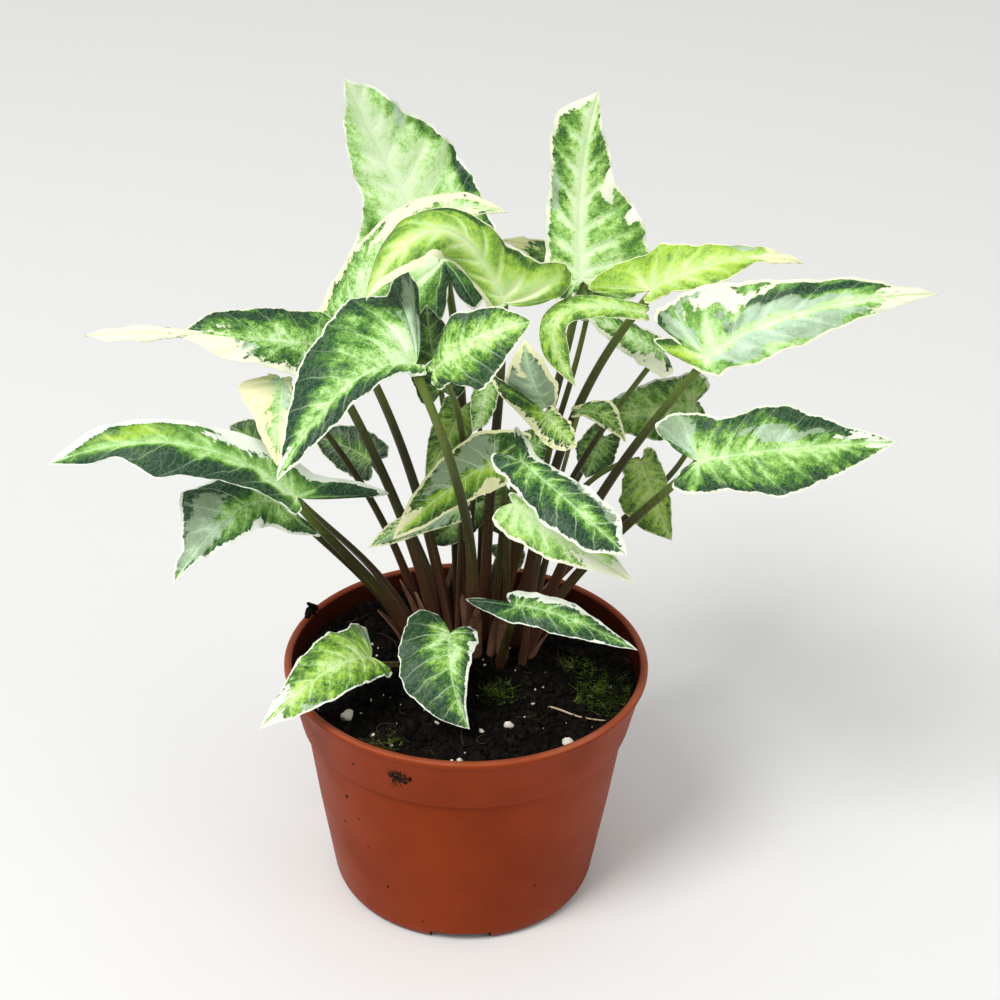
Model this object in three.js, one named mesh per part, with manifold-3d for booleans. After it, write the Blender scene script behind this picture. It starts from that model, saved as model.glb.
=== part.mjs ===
// A variegated arrowhead plant in its nursery pot. Millimetres, +Z up, and the origin is the middle
// of the pot's underside. The leaves rise from one clump in the soil, each on a stalk of its own.
import * as THREE from "three";
import { mergeVertices } from "three/addons/utils/BufferGeometryUtils.js";
import Module from "manifold-3d";

const wasm = await Module();
wasm.setup();

// Clearance between pieces that touch.
const GAP = 0.3;

// Pot: a tapered cup with a deeper collar, a rim bead, a notched foot and a raised floor.
const POT_HEIGHT = 84.5;
const RIM_RADIUS = 60;
const BEAD_HEIGHT = 2.2;
const WALL = 1.6;
const EDGE = 0.6;
const COLLAR_TOP_RADIUS = 59;
const COLLAR_FOOT_RADIUS = 55;
const COLLAR_FOOT_Z = 64.5;
const BODY_TOP_RADIUS = 53.8;
const BODY_TOP_Z = 63.4;
const BODY_FOOT_RADIUS = 44.4;
const BODY_FOOT_Z = 5;
const FOOT_RADIUS = 41.4;
const FOOT_INNER_RADIUS = 38;
const FOOT_ROUND = 1;
const FOOT_ROUND_Z = 1.8;
const PAD_RADIUS = 10;
const FLOOR_UNDERSIDE = 3;
const FLOOR_TOP = 4.6;
const POT_SEGMENTS = 40;
const NOTCH_COUNT = 4;
const NOTCH_WIDTH = 20;
const NOTCH_HEIGHT = 2.4;
const DRAIN_COUNT = 4;
const DRAIN_RADIUS = 3.5;
const DRAIN_RING_RADIUS = 26;
const DRAIN_SIDES = 12;

// Soil: its top is a low mound, a little below the rim. Each pair is a share of the soil's radius and
// of the mound's height. The sloping side keeps a little more than GAP, so that GAP is left square on.
const SOIL_EDGE_Z = 77.8;
const SOIL_TOP_Z = 81.6;
const MOUND = [
  [0.7, 0.45],
  [0.35, 0.85],
];
const SIDE_GAP = GAP * 1.2;

// Leaves: a thin blade on a tapered stalk that is set ROOT_DEPTH into the soil.
const BLADE_THICKNESS = 0.6;
const SPINE_STEPS = 24;
const VEIN_BEND = 1.15;
const ACROSS = [0, 0.5, 1];
const ROOT_DEPTH = 12;
const STALK_SIDES = 6;
const STALK_STEPS = 7;
const STOUT = { foot: 2.2, top: 1.5 };
const SLIM = { foot: 1.7, top: 1 };

// A stalk leaves the soil steeper than the straight way to its blade, by LIFT, and turns under the
// blade before it meets it. Each end's direction is held over a share of the stalk's span. A leaf's bow
// pulls its stalk sideways, below the blade.
const LIFT = 1.3;
const ARRIVAL = { way: 0.8, up: 0.5, forward: 0.35 };
const FOOT_HOLD = 0.4;
const HEAD_HOLD = 0.3;

const POT_COLOUR = 0x9a4526;
const SOIL_COLOUR = 0x1c1815;
const PALE = 0x9fbe7e;
const GREEN = 0x6d9a4f;
const DARK = 0x3f6a3a;
const CREAM = 0xd6dba0;
const STALK_COLOUR = 0x5b4a35;
const ROUGHNESS = { pot: 0.5, soil: 0.95, leaf: 0.45, stalk: 0.5 };

// The halves of a blade, seen from above with the tip ahead.
const LEFT = 0;
const RIGHT = 1;

// Half of a blade's outline, from the joint round the basal lobe and out to the tip. Each station has
// its shares of the three half widths (lobe, middle, top), its place along the blade (a share of the
// lobe's length behind the joint, or of the blade's length), and where its vein leaves the midrib.
const STATIONS = [
  { wide: [0, 0, 0], along: 0, rib: 0 },
  { wide: [0.24, 0, 0], along: -0.62, rib: 0 },
  { wide: [0.6, 0, 0], along: -1, rib: 0 },
  { wide: [0.93, 0, 0], along: -0.5, rib: 0 },
  { wide: [1, 0, 0], along: 0.08, rib: 0.02 },
  { wide: [0.52, 0.5, 0], along: 0.25, rib: 0.1 },
  { wide: [0, 1, 0], along: 0.42, rib: 0.24 },
  { wide: [0, 0.52, 0.5], along: 0.6, rib: 0.42 },
  { wide: [0, 0, 1], along: 0.76, rib: 0.62 },
  { wide: [0, 0, 0.45], along: 0.9, rib: 0.82 },
  { wide: [0, 0, 0], along: 1, rib: 1 },
];

// Each leaf: the joint with its stalk, the middle and tip of its midrib, the way its upper side faces
// at the joint and at the tip (turn), its half widths, and the length of its basal lobes. Pairs are
// left and right, seen from above with the tip ahead. fold and curl bend a half up from the midrib,
// sway swings a lobe outwards, in degrees. edge lists swellings and bays of the outline: the half, the
// place round it, how wide, and how far out. root is where its stalk enters the soil; a blade without
// one is the second half of a folded leaf and sits on its neighbour's stalk.
const LEAVES = {
  top_left: {
    joint: [-10, 48, 205], mid: [-27, 54, 232], tip: [-41, 46, 266], face: [0.2, -0.95, 0.2],
    left: [27, 13, 7], right: [21, 22, 12], lobe: [16, 22], sway: [-10, -32],
    edge: [[LEFT, 0.47, 0.06, 3.5], [RIGHT, 0.88, 0.05, 1.2], [RIGHT, 0.77, 0.02, -1]],
    root: [-0.5, 27], stalk: STOUT, tone: PALE,
  },
  arch: {
    joint: [10, -12, 218], mid: [-9, -22, 245], tip: [-30, -32, 227], face: [0, -0.9, 0.35],
    turn: [-0.5, -0.3, 0.8], left: [6, 9, 7], right: [25, 8, 8], lobe: [3, 5], fold: [-10, 0],
    curl: [-30, -40], edge: [[RIGHT, 0.5, 0.06, -7]], root: [5, 18], stalk: STOUT, tone: PALE,
  },
  arch_back: {
    joint: [-38, 0, 201], mid: [-19, 8, 233], tip: [10, 12, 237], face: [-0.3, -0.6, 0.75],
    left: [12, 9, 6], right: [10, 9, 5], lobe: [8, 6], root: [-3.5, 14], bow: [4, 0, 0], stalk: STOUT,
    tone: PALE,
  },
  far_left: {
    joint: [-46, -12, 203], mid: [-78, -22, 210], tip: [-112, -28, 212], face: [0, -0.55, 0.83],
    left: [12, 7, 2], right: [12, 8, 2], lobe: [8, 8],
    edge: [
      [LEFT, 0.7, 0.06, -3.5],
      [RIGHT, 0.6, 0.04, 1],
      [RIGHT, 0.7, 0.05, -3.5],
      [RIGHT, 0.8, 0.05, 1.2],
    ],
    root: [-8.5, 12.5], bow: [6, 0, 0], stalk: STOUT, tone: GREEN,
  },
  cream_left: {
    joint: [-56, -16, 193], mid: [-59, -26, 185], tip: [-57, -30, 171], face: [-0.1, -0.95, 0.2],
    left: [3, 5, 4], right: [13, 8, 4], lobe: [1, 2], edge: [[RIGHT, 0.26, 0.1, -8]], root: [-11.5, 18],
    stalk: SLIM, tone: CREAM,
  },
  centre_left: {
    joint: [-15, -42, 212], mid: [-34, -56, 211], tip: [-53, -68, 187], face: [-0.35, -0.6, 0.7],
    left: [4, 6, 5], right: [26, 18, 6], lobe: [3, 23], sway: [0, 55], root: [3, 9.5],
    bow: [20, -38, 0], stalk: STOUT, tone: GREEN,
  },
  centre: {
    joint: [-10, -42, 210], mid: [3, -48, 224], tip: [18, -46, 228], face: [0, -0.75, 0.65],
    left: [3, 9, 6], right: [6, 14, 8], lobe: [2, 3], root: [1.2, 14.3], bow: [4, 14, 0], stalk: SLIM,
    tone: GREEN,
  },
  cream_fold: {
    joint: [23, -26, 191], mid: [18, -30, 204], tip: [16, -28, 214], face: [-0.5, -0.8, 0.3],
    left: [9, 10, 5], right: [4, 8, 5], lobe: [2, 2], root: [9.5, 13.5], stalk: SLIM, tone: PALE,
  },
  cream_tip: {
    joint: [23, -32.6, 192], mid: [27, -35.4, 188], tip: [32, -36, 183], face: [0.1, -0.8, 0.6],
    left: [3, 4, 3], right: [6, 6, 4], lobe: [2, 20], sway: [0, 12], tone: CREAM,
  },
  top_right: {
    joint: [34, 34, 206], mid: [33, 38, 236], tip: [37, 34, 268], face: [-0.05, -0.97, 0.2],
    left: [11, 10, 11], right: [22, 14, 5], lobe: [8, 8],
    edge: [[LEFT, 0.87, 0.05, 3], [RIGHT, 0.52, 0.08, 3], [RIGHT, 0.68, 0.04, -1.5]], root: [8.5, 23],
    stalk: STOUT, tone: PALE,
  },
  dark_notch: {
    joint: [38, 50, 191], mid: [25, 54, 204], tip: [8, 50, 212], face: [0, -0.5, 0.85], left: [7, 7, 3],
    right: [8, 7, 3], lobe: [5, 5], root: [9, 28], stalk: SLIM, tone: DARK,
  },
  right_high: {
    joint: [54, 4, 216], mid: [74, -2, 228], tip: [99, 0, 228], face: [0, -0.6, 0.8], left: [13, 7, 4],
    right: [4, 7, 2], lobe: [25, 3], sway: [13, 0], edge: [[RIGHT, 0.74, 0.06, -2]], root: [14.5, 14.5],
    bow: [-24, 0, 0], stalk: STOUT, tone: GREEN,
  },
  right_loop: {
    joint: [52, 1, 210], mid: [26, -8, 212], tip: [32, -12, 191], face: [0, -0.6, 0.8], left: [3, 4, 4],
    right: [3, 4, 4], lobe: [2, 2], tone: GREEN,
  },
  right_long: {
    joint: [70, -22, 207], mid: [97, -22, 222], tip: [137, -14, 225], face: [0, -0.75, 0.65],
    left: [19, 10, 5], right: [13, 9, 4], lobe: [10, 27], sway: [35, -64],
    edge: [[RIGHT, 0.2, 0.08, 3.5], [RIGHT, 0.39, 0.06, -6], [RIGHT, 0.5, 0.05, -1.5]],
    root: [19.8, 14.5], bow: [-8, 0, 0], stalk: STOUT, tone: PALE,
  },
  right_under: {
    joint: [60, 22, 187], mid: [48, 20, 194], tip: [34, 18, 202], face: [0, -0.5, 0.85],
    left: [9, 7, 4], right: [5, 5, 3], lobe: [5, 5], root: [12.3, 19], bow: [-14, 0, 0], stalk: SLIM,
    tone: GREEN,
  },
  right_mid: {
    joint: [69, -26, 174], mid: [96, -28, 180], tip: [129, -22, 180], face: [0, -0.8, 0.6],
    left: [15, 13, 5], right: [10, 14, 7], lobe: [12, 9], sway: [15, 0],
    edge: [[LEFT, 0.46, 0.07, -3], [LEFT, 0.63, 0.04, 1.5]], root: [17.5, 9.5], stalk: STOUT,
    tone: GREEN,
  },
  right_back: {
    joint: [75, 56, 152], mid: [59, 62, 146], tip: [39, 60, 143], face: [0, -0.8, 0.55],
    left: [14, 11, 6], right: [10, 9, 5], lobe: [6, 6], root: [14, 24.5], stalk: SLIM, tone: DARK,
  },
  right_low: {
    joint: [56, 32, 142], mid: [62, 34, 126], tip: [68, 30, 113], face: [0.1, -0.9, 0.4],
    left: [6, 6, 3], right: [7, 12, 8], lobe: [4, 4], root: [18.5, 19.5], bow: [-8, 0, 0], stalk: SLIM,
    tone: GREEN,
  },
  centre_right: {
    joint: [16, -40, 180], mid: [31, -55, 174], tip: [47, -62, 162], face: [0.35, -0.7, 0.6],
    left: [5, 7, 8], right: [8, 10, 8], lobe: [15, 8], sway: [20, 0], root: [12, 9.5], stalk: SLIM,
    tone: DARK,
  },
  centre_fold: {
    joint: [14, -35.6, 163.3], mid: [29, -44, 157], tip: [50, -56, 149], face: [0.2, -0.85, 0.5],
    left: [3, 7, 4], right: [9, 8, 3], lobe: [3, 3], tone: PALE,
  },
  centre_under: {
    joint: [8, -17, 167.5], mid: [-7, -24, 160], tip: [-22, -38.5, 151.5], face: [-0.1, -0.9, 0.3],
    left: [8, 6, 4], right: [10, 8, 4], lobe: [3, 14], sway: [0, -15], root: [7.5, 9], stalk: SLIM,
    tone: CREAM,
  },
  shade_low: {
    joint: [-1, -5.2, 143.7], mid: [-16, -17, 145], tip: [-30, -31, 144], face: [0, -0.9, 0.4],
    left: [4, 4, 3], right: [4, 4, 3], lobe: [2, 2], tone: PALE,
  },
  left_long: {
    joint: [-52, -24, 157], mid: [-84, -34, 180], tip: [-125, -34, 172], face: [0, -0.7, 0.7],
    left: [5, 9, 6], right: [9, 7, 7], lobe: [4, 32], sway: [0, 28],
    edge: [[LEFT, 0.69, 0.045, 3], [LEFT, 0.79, 0.04, -2.5]], root: [-12.5, 9], stalk: STOUT,
    tone: GREEN,
  },
  left_low: {
    joint: [-59, -12, 148], mid: [-73, -20, 148], tip: [-90, -32, 130], face: [-0.2, -0.85, 0.5],
    left: [8, 8, 3], right: [11, 12, 7], lobe: [18, 3],
    edge: [[RIGHT, 0.65, 0.05, 4], [RIGHT, 0.82, 0.06, -2.5]], root: [-16, 13.5], stalk: SLIM,
    tone: DARK,
  },
  left_shade: {
    joint: [-67, 40, 131], mid: [-75, 46, 139], tip: [-82, 50, 142], face: [0, -0.8, 0.5],
    left: [9, 9, 6], right: [9, 9, 6], lobe: [4, 4], root: [-14, 22.5], stalk: SLIM, tone: DARK,
  },
  rim_left: {
    joint: [-30, -22, 98], mid: [-44, -38, 102], tip: [-63, -50, 89], face: [-0.1, -0.55, 0.83],
    left: [9, 10, 6], right: [13, 10, 4], lobe: [4, 14], sway: [0, 30], root: [-8, 4.5], stalk: SLIM,
    tone: GREEN,
  },
  front: {
    joint: [-5, -18, 105], mid: [-4, -32, 98], tip: [2, -42, 85], face: [0, -0.8, 0.6], left: [9, 6, 2],
    right: [15, 16, 9], lobe: [4, 9], root: [-2, 4], stalk: SLIM, tone: GREEN,
  },
  front_right: {
    joint: [16, -21, 118], mid: [31, -27, 118], tip: [54, -31, 109], face: [0, -0.65, 0.75],
    left: [5, 5, 2], right: [6, 6, 3], lobe: [5, 22], sway: [0, -15], root: [10, 3], stalk: SLIM,
    tone: GREEN,
  },
  dark_centre: {
    joint: [-10, 28, 169], mid: [-13, 32, 181], tip: [-15, 34, 196], face: [0, -0.9, 0.4],
    left: [8, 8, 5], right: [8, 8, 5], lobe: [4, 4], root: [-2.5, 21], stalk: SLIM, tone: DARK,
  },
  left_back: {
    joint: [-34, 48, 131], mid: [-43, 54, 133], tip: [-55, 58, 135], face: [0, -0.8, 0.5],
    left: [8, 8, 5], right: [8, 8, 5], lobe: [4, 4], root: [-6, 26.5], stalk: SLIM, tone: DARK,
  },
  low_shade: {
    joint: [2, 24, 129], mid: [-6, 20, 122], tip: [-14, 16, 118], face: [0, -0.8, 0.5], left: [6, 6, 4],
    right: [6, 6, 4], lobe: [4, 4], root: [2.8, 22.5], stalk: SLIM, tone: DARK,
  },
};

const group = new THREE.Group();

function add(name, geometry, color, roughness) {
  geometry.computeVertexNormals();
  const material = new THREE.MeshStandardMaterial({ color, roughness, metalness: 0 });
  const mesh = new THREE.Mesh(geometry, material);
  mesh.name = name;
  group.add(mesh);
}

function solidOf(geometry) {
  const bare = geometry.clone();
  bare.deleteAttribute("normal");
  bare.deleteAttribute("uv");
  const merged = mergeVertices(bare, 1e-4);
  return new wasm.Manifold(
    new wasm.Mesh({
      numProp: 3,
      vertProperties: merged.getAttribute("position").array,
      triVerts: new Uint32Array(merged.index.array),
    }),
  );
}

function geometryOf(solid) {
  const { vertProperties, triVerts } = solid.getMesh();
  const geometry = new THREE.BufferGeometry();
  geometry.setAttribute("position", new THREE.BufferAttribute(vertProperties, 3));
  geometry.setIndex(new THREE.BufferAttribute(triVerts, 1));
  return geometry;
}

function indexed(points, triangles) {
  const geometry = new THREE.BufferGeometry();
  const flat = points.flatMap((p) => [p.x, p.y, p.z]);
  geometry.setAttribute("position", new THREE.Float32BufferAttribute(flat, 3));
  geometry.setIndex(triangles.flat());
  return geometry;
}

// A solid of revolution about Z from [radius, height] points that start and end on the axis.
function turned(profile) {
  const points = profile.map(([r, z]) => new THREE.Vector2(r, z));
  return new THREE.LatheGeometry(points, POT_SEGMENTS).rotateX(Math.PI / 2);
}

// The pot.
const COLLAR_INNER_FOOT = COLLAR_FOOT_RADIUS - WALL;
const COLLAR_INNER_TOP = COLLAR_TOP_RADIUS - WALL;
const BODY_INNER_TOP = BODY_TOP_RADIUS - WALL;
const BODY_INNER_FOOT = BODY_FOOT_RADIUS - WALL;
const BEAD_FOOT_Z = POT_HEIGHT - BEAD_HEIGHT;

let pot = solidOf(
  turned([
    [0, 0],
    [PAD_RADIUS, 0],
    [PAD_RADIUS + FLOOR_UNDERSIDE, FLOOR_UNDERSIDE],
    [FOOT_INNER_RADIUS - FOOT_ROUND, FLOOR_UNDERSIDE],
    [FOOT_INNER_RADIUS, 0],
    [FOOT_RADIUS, 0],
    [BODY_FOOT_RADIUS - FOOT_ROUND, FOOT_ROUND_Z],
    [BODY_FOOT_RADIUS, BODY_FOOT_Z],
    [BODY_TOP_RADIUS, BODY_TOP_Z],
    [COLLAR_FOOT_RADIUS - EDGE / 2, COLLAR_FOOT_Z - EDGE],
    [COLLAR_FOOT_RADIUS, COLLAR_FOOT_Z],
    [COLLAR_TOP_RADIUS, BEAD_FOOT_Z],
    [RIM_RADIUS, BEAD_FOOT_Z + EDGE / 2],
    [RIM_RADIUS, POT_HEIGHT - EDGE],
    [RIM_RADIUS - EDGE, POT_HEIGHT],
    [COLLAR_INNER_TOP + EDGE, POT_HEIGHT],
    [COLLAR_INNER_TOP, POT_HEIGHT - EDGE],
    [COLLAR_INNER_FOOT, COLLAR_FOOT_Z],
    [BODY_INNER_TOP, BODY_TOP_Z],
    [BODY_INNER_FOOT, FLOOR_TOP],
    [0, FLOOR_TOP],
  ]),
);
for (let k = 0; k < NOTCH_COUNT; k++) {
  const notch = new THREE.BoxGeometry(NOTCH_WIDTH, WALL * 10, NOTCH_HEIGHT * 2);
  notch.translate(0, -BODY_FOOT_RADIUS, 0).rotateZ((k * 2 * Math.PI) / NOTCH_COUNT);
  pot = pot.subtract(solidOf(notch));
}
for (let k = 0; k < DRAIN_COUNT; k++) {
  const drain = new THREE.CylinderGeometry(DRAIN_RADIUS, DRAIN_RADIUS, FLOOR_TOP * 4, DRAIN_SIDES);
  drain.rotateX(Math.PI / 2).translate(DRAIN_RING_RADIUS, 0, 0);
  drain.rotateZ(((k + 0.5) * 2 * Math.PI) / DRAIN_COUNT);
  pot = pot.subtract(solidOf(drain));
}
add("pot", geometryOf(pot), POT_COLOUR, ROUGHNESS.pot);

// A blade's midrib: a curve through the joint, the middle and the tip, with the blade's own directions
// along it: forward, up (out of its upper side) and across (to its right).
class Spine {
  constructor({ joint, mid, tip, face, turn = face }) {
    const start = new THREE.Vector3(...joint);
    const end = new THREE.Vector3(...tip);
    const bend = new THREE.Vector3(...mid).multiplyScalar(2);
    bend.addScaledVector(start, -0.5).addScaledVector(end, -0.5);
    this.curve = new THREE.QuadraticBezierCurve3(start, bend, end);
    this.curve.arcLengthDivisions = SPINE_STEPS;
    this.length = this.curve.getLength();
    this.face = new THREE.Vector3(...face);
    this.turn = new THREE.Vector3(...turn);
  }

  at(along) {
    const share = THREE.MathUtils.clamp(along / this.length, 0, 1);
    const forward = this.curve.getTangentAt(share);
    const up = this.face.clone().lerp(this.turn, share);
    up.addScaledVector(forward, -up.dot(forward)).normalize();
    const across = forward.clone().cross(up);
    return { point: this.curve.getPointAt(share), forward, up, across };
  }
}

// The point of a blade at one station, at a share of the way out from the midrib to the margin.
function bladePoint(leaf, spine, side, station, out) {
  const { fold = [0, 0], curl = [0, 0], sway = [0, 0], edge = [], lobe } = leaf;
  const hand = side < 0 ? LEFT : RIGHT;
  const widths = side < 0 ? leaf.left : leaf.right;
  const around = STATIONS.indexOf(station) / (STATIONS.length - 1);
  let reach = station.wide.reduce((sum, share, k) => sum + share * widths[k], 0);
  for (const [half, middle, wide, swell] of edge) {
    if (half === hand) reach += swell * Math.exp(-(((around - middle) / wide) ** 2));
  }
  reach = Math.max(reach, 0);
  const start = station.rib * spine.length;
  const end = station.along * (station.along < 0 ? lobe[hand] : spine.length);
  const along = start + (end - start) * out ** VEIN_BEND;
  const { point, forward, up, across } = spine.at(Math.max(along, 0));
  if (along < 0) {
    const swing = THREE.MathUtils.degToRad(sway[hand]);
    point.addScaledVector(forward, along * Math.cos(swing));
    point.addScaledVector(across, -along * Math.sin(swing) * side);
  }
  const lean = THREE.MathUtils.degToRad(fold[hand]);
  const bend = THREE.MathUtils.degToRad(curl[hand]) / Math.max(...widths);
  const x = out * reach;
  let level = x * Math.cos(lean);
  let rise = x * Math.sin(lean);
  if (bend !== 0) {
    level = (Math.sin(lean + bend * x) - Math.sin(lean)) / bend;
    rise = (Math.cos(lean) - Math.cos(lean + bend * x)) / bend;
  }
  return point.addScaledVector(across, side * level).addScaledVector(up, rise);
}

// A blade as one closed solid: a sheet of the two halves, thickened to both sides.
function bladeGeometry(leaf) {
  const spine = new Spine(leaf);
  const points = [];
  const seen = new Map();
  const number = (p) => {
    const key = p.toArray().map((v) => v.toFixed(3)).join();
    if (!seen.has(key)) seen.set(key, points.push(p) - 1);
    return seen.get(key);
  };
  const sheet = [];
  for (const side of [-1, 1]) {
    const rows = STATIONS.map((s) => ACROSS.map((b) => number(bladePoint(leaf, spine, side, s, b))));
    for (let i = 0; i + 1 < rows.length; i++) {
      for (let j = 0; j + 1 < ACROSS.length; j++) {
        const [a, b, c, d] = [rows[i][j], rows[i][j + 1], rows[i + 1][j + 1], rows[i + 1][j]];
        for (const [p, q, r] of [[a, b, c], [a, c, d]]) {
          if (p !== q && q !== r && r !== p) sheet.push(side > 0 ? [p, q, r] : [p, r, q]);
        }
      }
    }
  }
  const normals = points.map(() => new THREE.Vector3());
  for (const [p, q, r] of sheet) {
    const edge = points[q].clone().sub(points[p]);
    const normal = edge.cross(points[r].clone().sub(points[p]));
    for (const k of [p, q, r]) normals[k].add(normal);
  }
  normals.forEach((n) => n.normalize().multiplyScalar(BLADE_THICKNESS / 2));
  const top = points.map((p, k) => p.clone().add(normals[k]));
  const bottom = points.map((p, k) => p.clone().sub(normals[k]));
  const count = points.length;
  const edges = new Set(sheet.flatMap(([p, q, r]) => [`${p},${q}`, `${q},${r}`, `${r},${p}`]));
  const walls = [...edges].flatMap((edge) => {
    const [p, q] = edge.split(",").map(Number);
    if (edges.has(`${q},${p}`)) return [];
    return [[q, p, p + count], [q, p + count, q + count]];
  });
  const underside = sheet.map(([p, q, r]) => [p + count, r + count, q + count]);
  return indexed([...top, ...bottom], [...sheet, ...underside, ...walls]);
}

// A stalk from the soil to the underside of its blade's joint. swell widens it all round and sets its
// foot deeper, to cut its own socket in the soil.
function stalkGeometry({ root, stalk, bow = [0, 0, 0], ...leaf }, swell) {
  const { point, forward, up } = new Spine(leaf).at(0);
  const foot = new THREE.Vector3(...root, SOIL_TOP_Z - ROOT_DEPTH);
  const way = point.clone().sub(foot).normalize();
  const arrive = way.clone().multiplyScalar(ARRIVAL.way);
  arrive.addScaledVector(up, ARRIVAL.up).addScaledVector(forward, ARRIVAL.forward).normalize();
  const tilt = arrive.clone().cross(up).length();
  const head = point.clone().addScaledVector(up, -(GAP + BLADE_THICKNESS / 2 + stalk.top * tilt));
  const span = head.distanceTo(foot);
  const rise = way.clone().add(new THREE.Vector3(0, 0, LIFT)).normalize();
  const neck = head.clone().addScaledVector(arrive, -span * HEAD_HOLD);
  const curve = new THREE.CubicBezierCurve3(
    foot,
    foot.clone().addScaledVector(rise, span * FOOT_HOLD),
    neck.add(new THREE.Vector3(...bow)),
    head,
  );
  const points = [];
  for (let k = 0; k <= STALK_STEPS; k++) {
    const share = k / STALK_STEPS;
    const tangent = curve.getTangent(share);
    const side = new THREE.Vector3(1, 0, 0).cross(tangent).normalize();
    const front = tangent.clone().cross(side);
    const centre = curve.getPoint(share).addScaledVector(tangent, k === 0 ? -swell : 0);
    const radius = THREE.MathUtils.lerp(stalk.foot, stalk.top, share) + swell;
    for (let j = 0; j < STALK_SIDES; j++) {
      const turn = (j * 2 * Math.PI) / STALK_SIDES;
      const p = centre.clone().addScaledVector(side, radius * Math.cos(turn));
      points.push(p.addScaledVector(front, radius * Math.sin(turn)));
    }
  }
  const triangles = [];
  for (let k = 0; k < STALK_STEPS; k++) {
    for (let j = 0; j < STALK_SIDES; j++) {
      const a = k * STALK_SIDES + j;
      const b = k * STALK_SIDES + ((j + 1) % STALK_SIDES);
      triangles.push([a, b, b + STALK_SIDES], [a, b + STALK_SIDES, a + STALK_SIDES]);
    }
  }
  const last = STALK_STEPS * STALK_SIDES;
  for (let j = 1; j + 1 < STALK_SIDES; j++) {
    triangles.push([0, j + 1, j], [last, last + j, last + j + 1]);
  }
  return indexed(points, triangles);
}

// The soil fills the pot to just below its rim, with a socket round the foot of each stalk.
const SOIL_EDGE_RADIUS = THREE.MathUtils.mapLinear(
  SOIL_EDGE_Z,
  COLLAR_FOOT_Z,
  POT_HEIGHT - EDGE,
  COLLAR_INNER_FOOT,
  COLLAR_INNER_TOP,
);
const mound = MOUND.map(([out, up]) => [
  SOIL_EDGE_RADIUS * out,
  THREE.MathUtils.lerp(SOIL_EDGE_Z, SOIL_TOP_Z, up),
]);
let soil = solidOf(
  turned([
    [0, FLOOR_TOP + GAP],
    [BODY_INNER_FOOT - SIDE_GAP, FLOOR_TOP + GAP],
    [BODY_INNER_TOP - SIDE_GAP, BODY_TOP_Z],
    [COLLAR_INNER_FOOT - SIDE_GAP, COLLAR_FOOT_Z + GAP],
    [SOIL_EDGE_RADIUS - SIDE_GAP, SOIL_EDGE_Z],
    ...mound,
    [0, SOIL_TOP_Z],
  ]),
);
for (const leaf of Object.values(LEAVES)) {
  if (leaf.root) soil = soil.subtract(solidOf(stalkGeometry(leaf, GAP)));
}
add("soil", geometryOf(soil), SOIL_COLOUR, ROUGHNESS.soil);

for (const [name, leaf] of Object.entries(LEAVES)) {
  add(`leaf_${name}`, bladeGeometry(leaf), leaf.tone, ROUGHNESS.leaf);
  if (leaf.root) add(`petiole_${name}`, stalkGeometry(leaf, 0), STALK_COLOUR, ROUGHNESS.stalk);
}

export default group;
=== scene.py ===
"""A variegated arrowhead plant in its nursery pot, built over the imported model. Run it as a script."""

import math

import bmesh
import bpy
import numpy as np
from mathutils import Matrix, Vector, noise


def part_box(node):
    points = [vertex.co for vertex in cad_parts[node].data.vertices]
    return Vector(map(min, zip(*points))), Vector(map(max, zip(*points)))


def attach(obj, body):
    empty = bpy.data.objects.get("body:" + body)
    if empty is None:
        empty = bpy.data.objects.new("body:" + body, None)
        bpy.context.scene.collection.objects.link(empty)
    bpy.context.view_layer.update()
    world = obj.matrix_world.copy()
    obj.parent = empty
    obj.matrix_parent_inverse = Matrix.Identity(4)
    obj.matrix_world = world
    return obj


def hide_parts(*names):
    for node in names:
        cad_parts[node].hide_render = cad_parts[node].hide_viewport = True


bl_info = {
    "name": "Potted Arrowhead Plant",
    "version": (1, 0, 0),
    "blender": (4, 5, 0),
    "location": "View3D > Sidebar > Plant",
    "description": "Builds the leaves, stalks, soil and pot of a variegated arrowhead plant",
    "category": "Add Mesh",
}

MM = 0.001
BODY = "root"

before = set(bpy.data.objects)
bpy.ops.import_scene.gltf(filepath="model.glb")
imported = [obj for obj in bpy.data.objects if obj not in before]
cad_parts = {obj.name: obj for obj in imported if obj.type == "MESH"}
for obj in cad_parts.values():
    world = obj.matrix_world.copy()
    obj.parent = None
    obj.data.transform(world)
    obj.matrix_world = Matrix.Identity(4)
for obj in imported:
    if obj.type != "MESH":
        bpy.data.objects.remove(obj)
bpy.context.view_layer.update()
RIM_TOP = round(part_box("pot")[1].z / MM, 3)
SOIL_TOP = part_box("soil")[1].z / MM

# ---------------------------------------------------------------------------------------------------
# The plant, in millimetres. The pot's axis is Z, and the pot stands on Z = 0.

# Stalks: the radius at the foot and under the blade, how deep the foot stands in the soil, and the gap
# between the top of a stalk and the middle of its blade.
STOUT = (2.2, 1.5)
SLIM = (1.7, 1.0)
THIN = (1.2, 0.7)
ROOT_DEPTH = 12
BLADE_GAP = 0.24

# Half of a blade's outline, from the joint round the basal lobe and out to the tip: shares of the lobe,
# middle and top half widths, the place along the blade (a share of the lobe's length behind the joint,
# or of the blade's length), and where the vein that ends there leaves the midrib.
STATIONS = np.array(
    [
        (0, 0, 0, 0, 0), (0.24, 0, 0, -0.62, 0), (0.6, 0, 0, -1, 0), (0.93, 0, 0, -0.5, 0),
        (1, 0, 0, 0.08, 0.02), (0.52, 0.5, 0, 0.25, 0.1), (0, 1, 0, 0.42, 0.24), (0, 0.52, 0.5, 0.6, 0.42),
        (0, 0, 1, 0.76, 0.62), (0, 0, 0.45, 0.9, 0.82), (0, 0, 0, 1, 1),
    ]
)
VEIN_BEND = 1.15
# The lobe's part of the way round the half blade: its veins all leave the midrib at the joint.
LOBE_SHARE = 0.3
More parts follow.
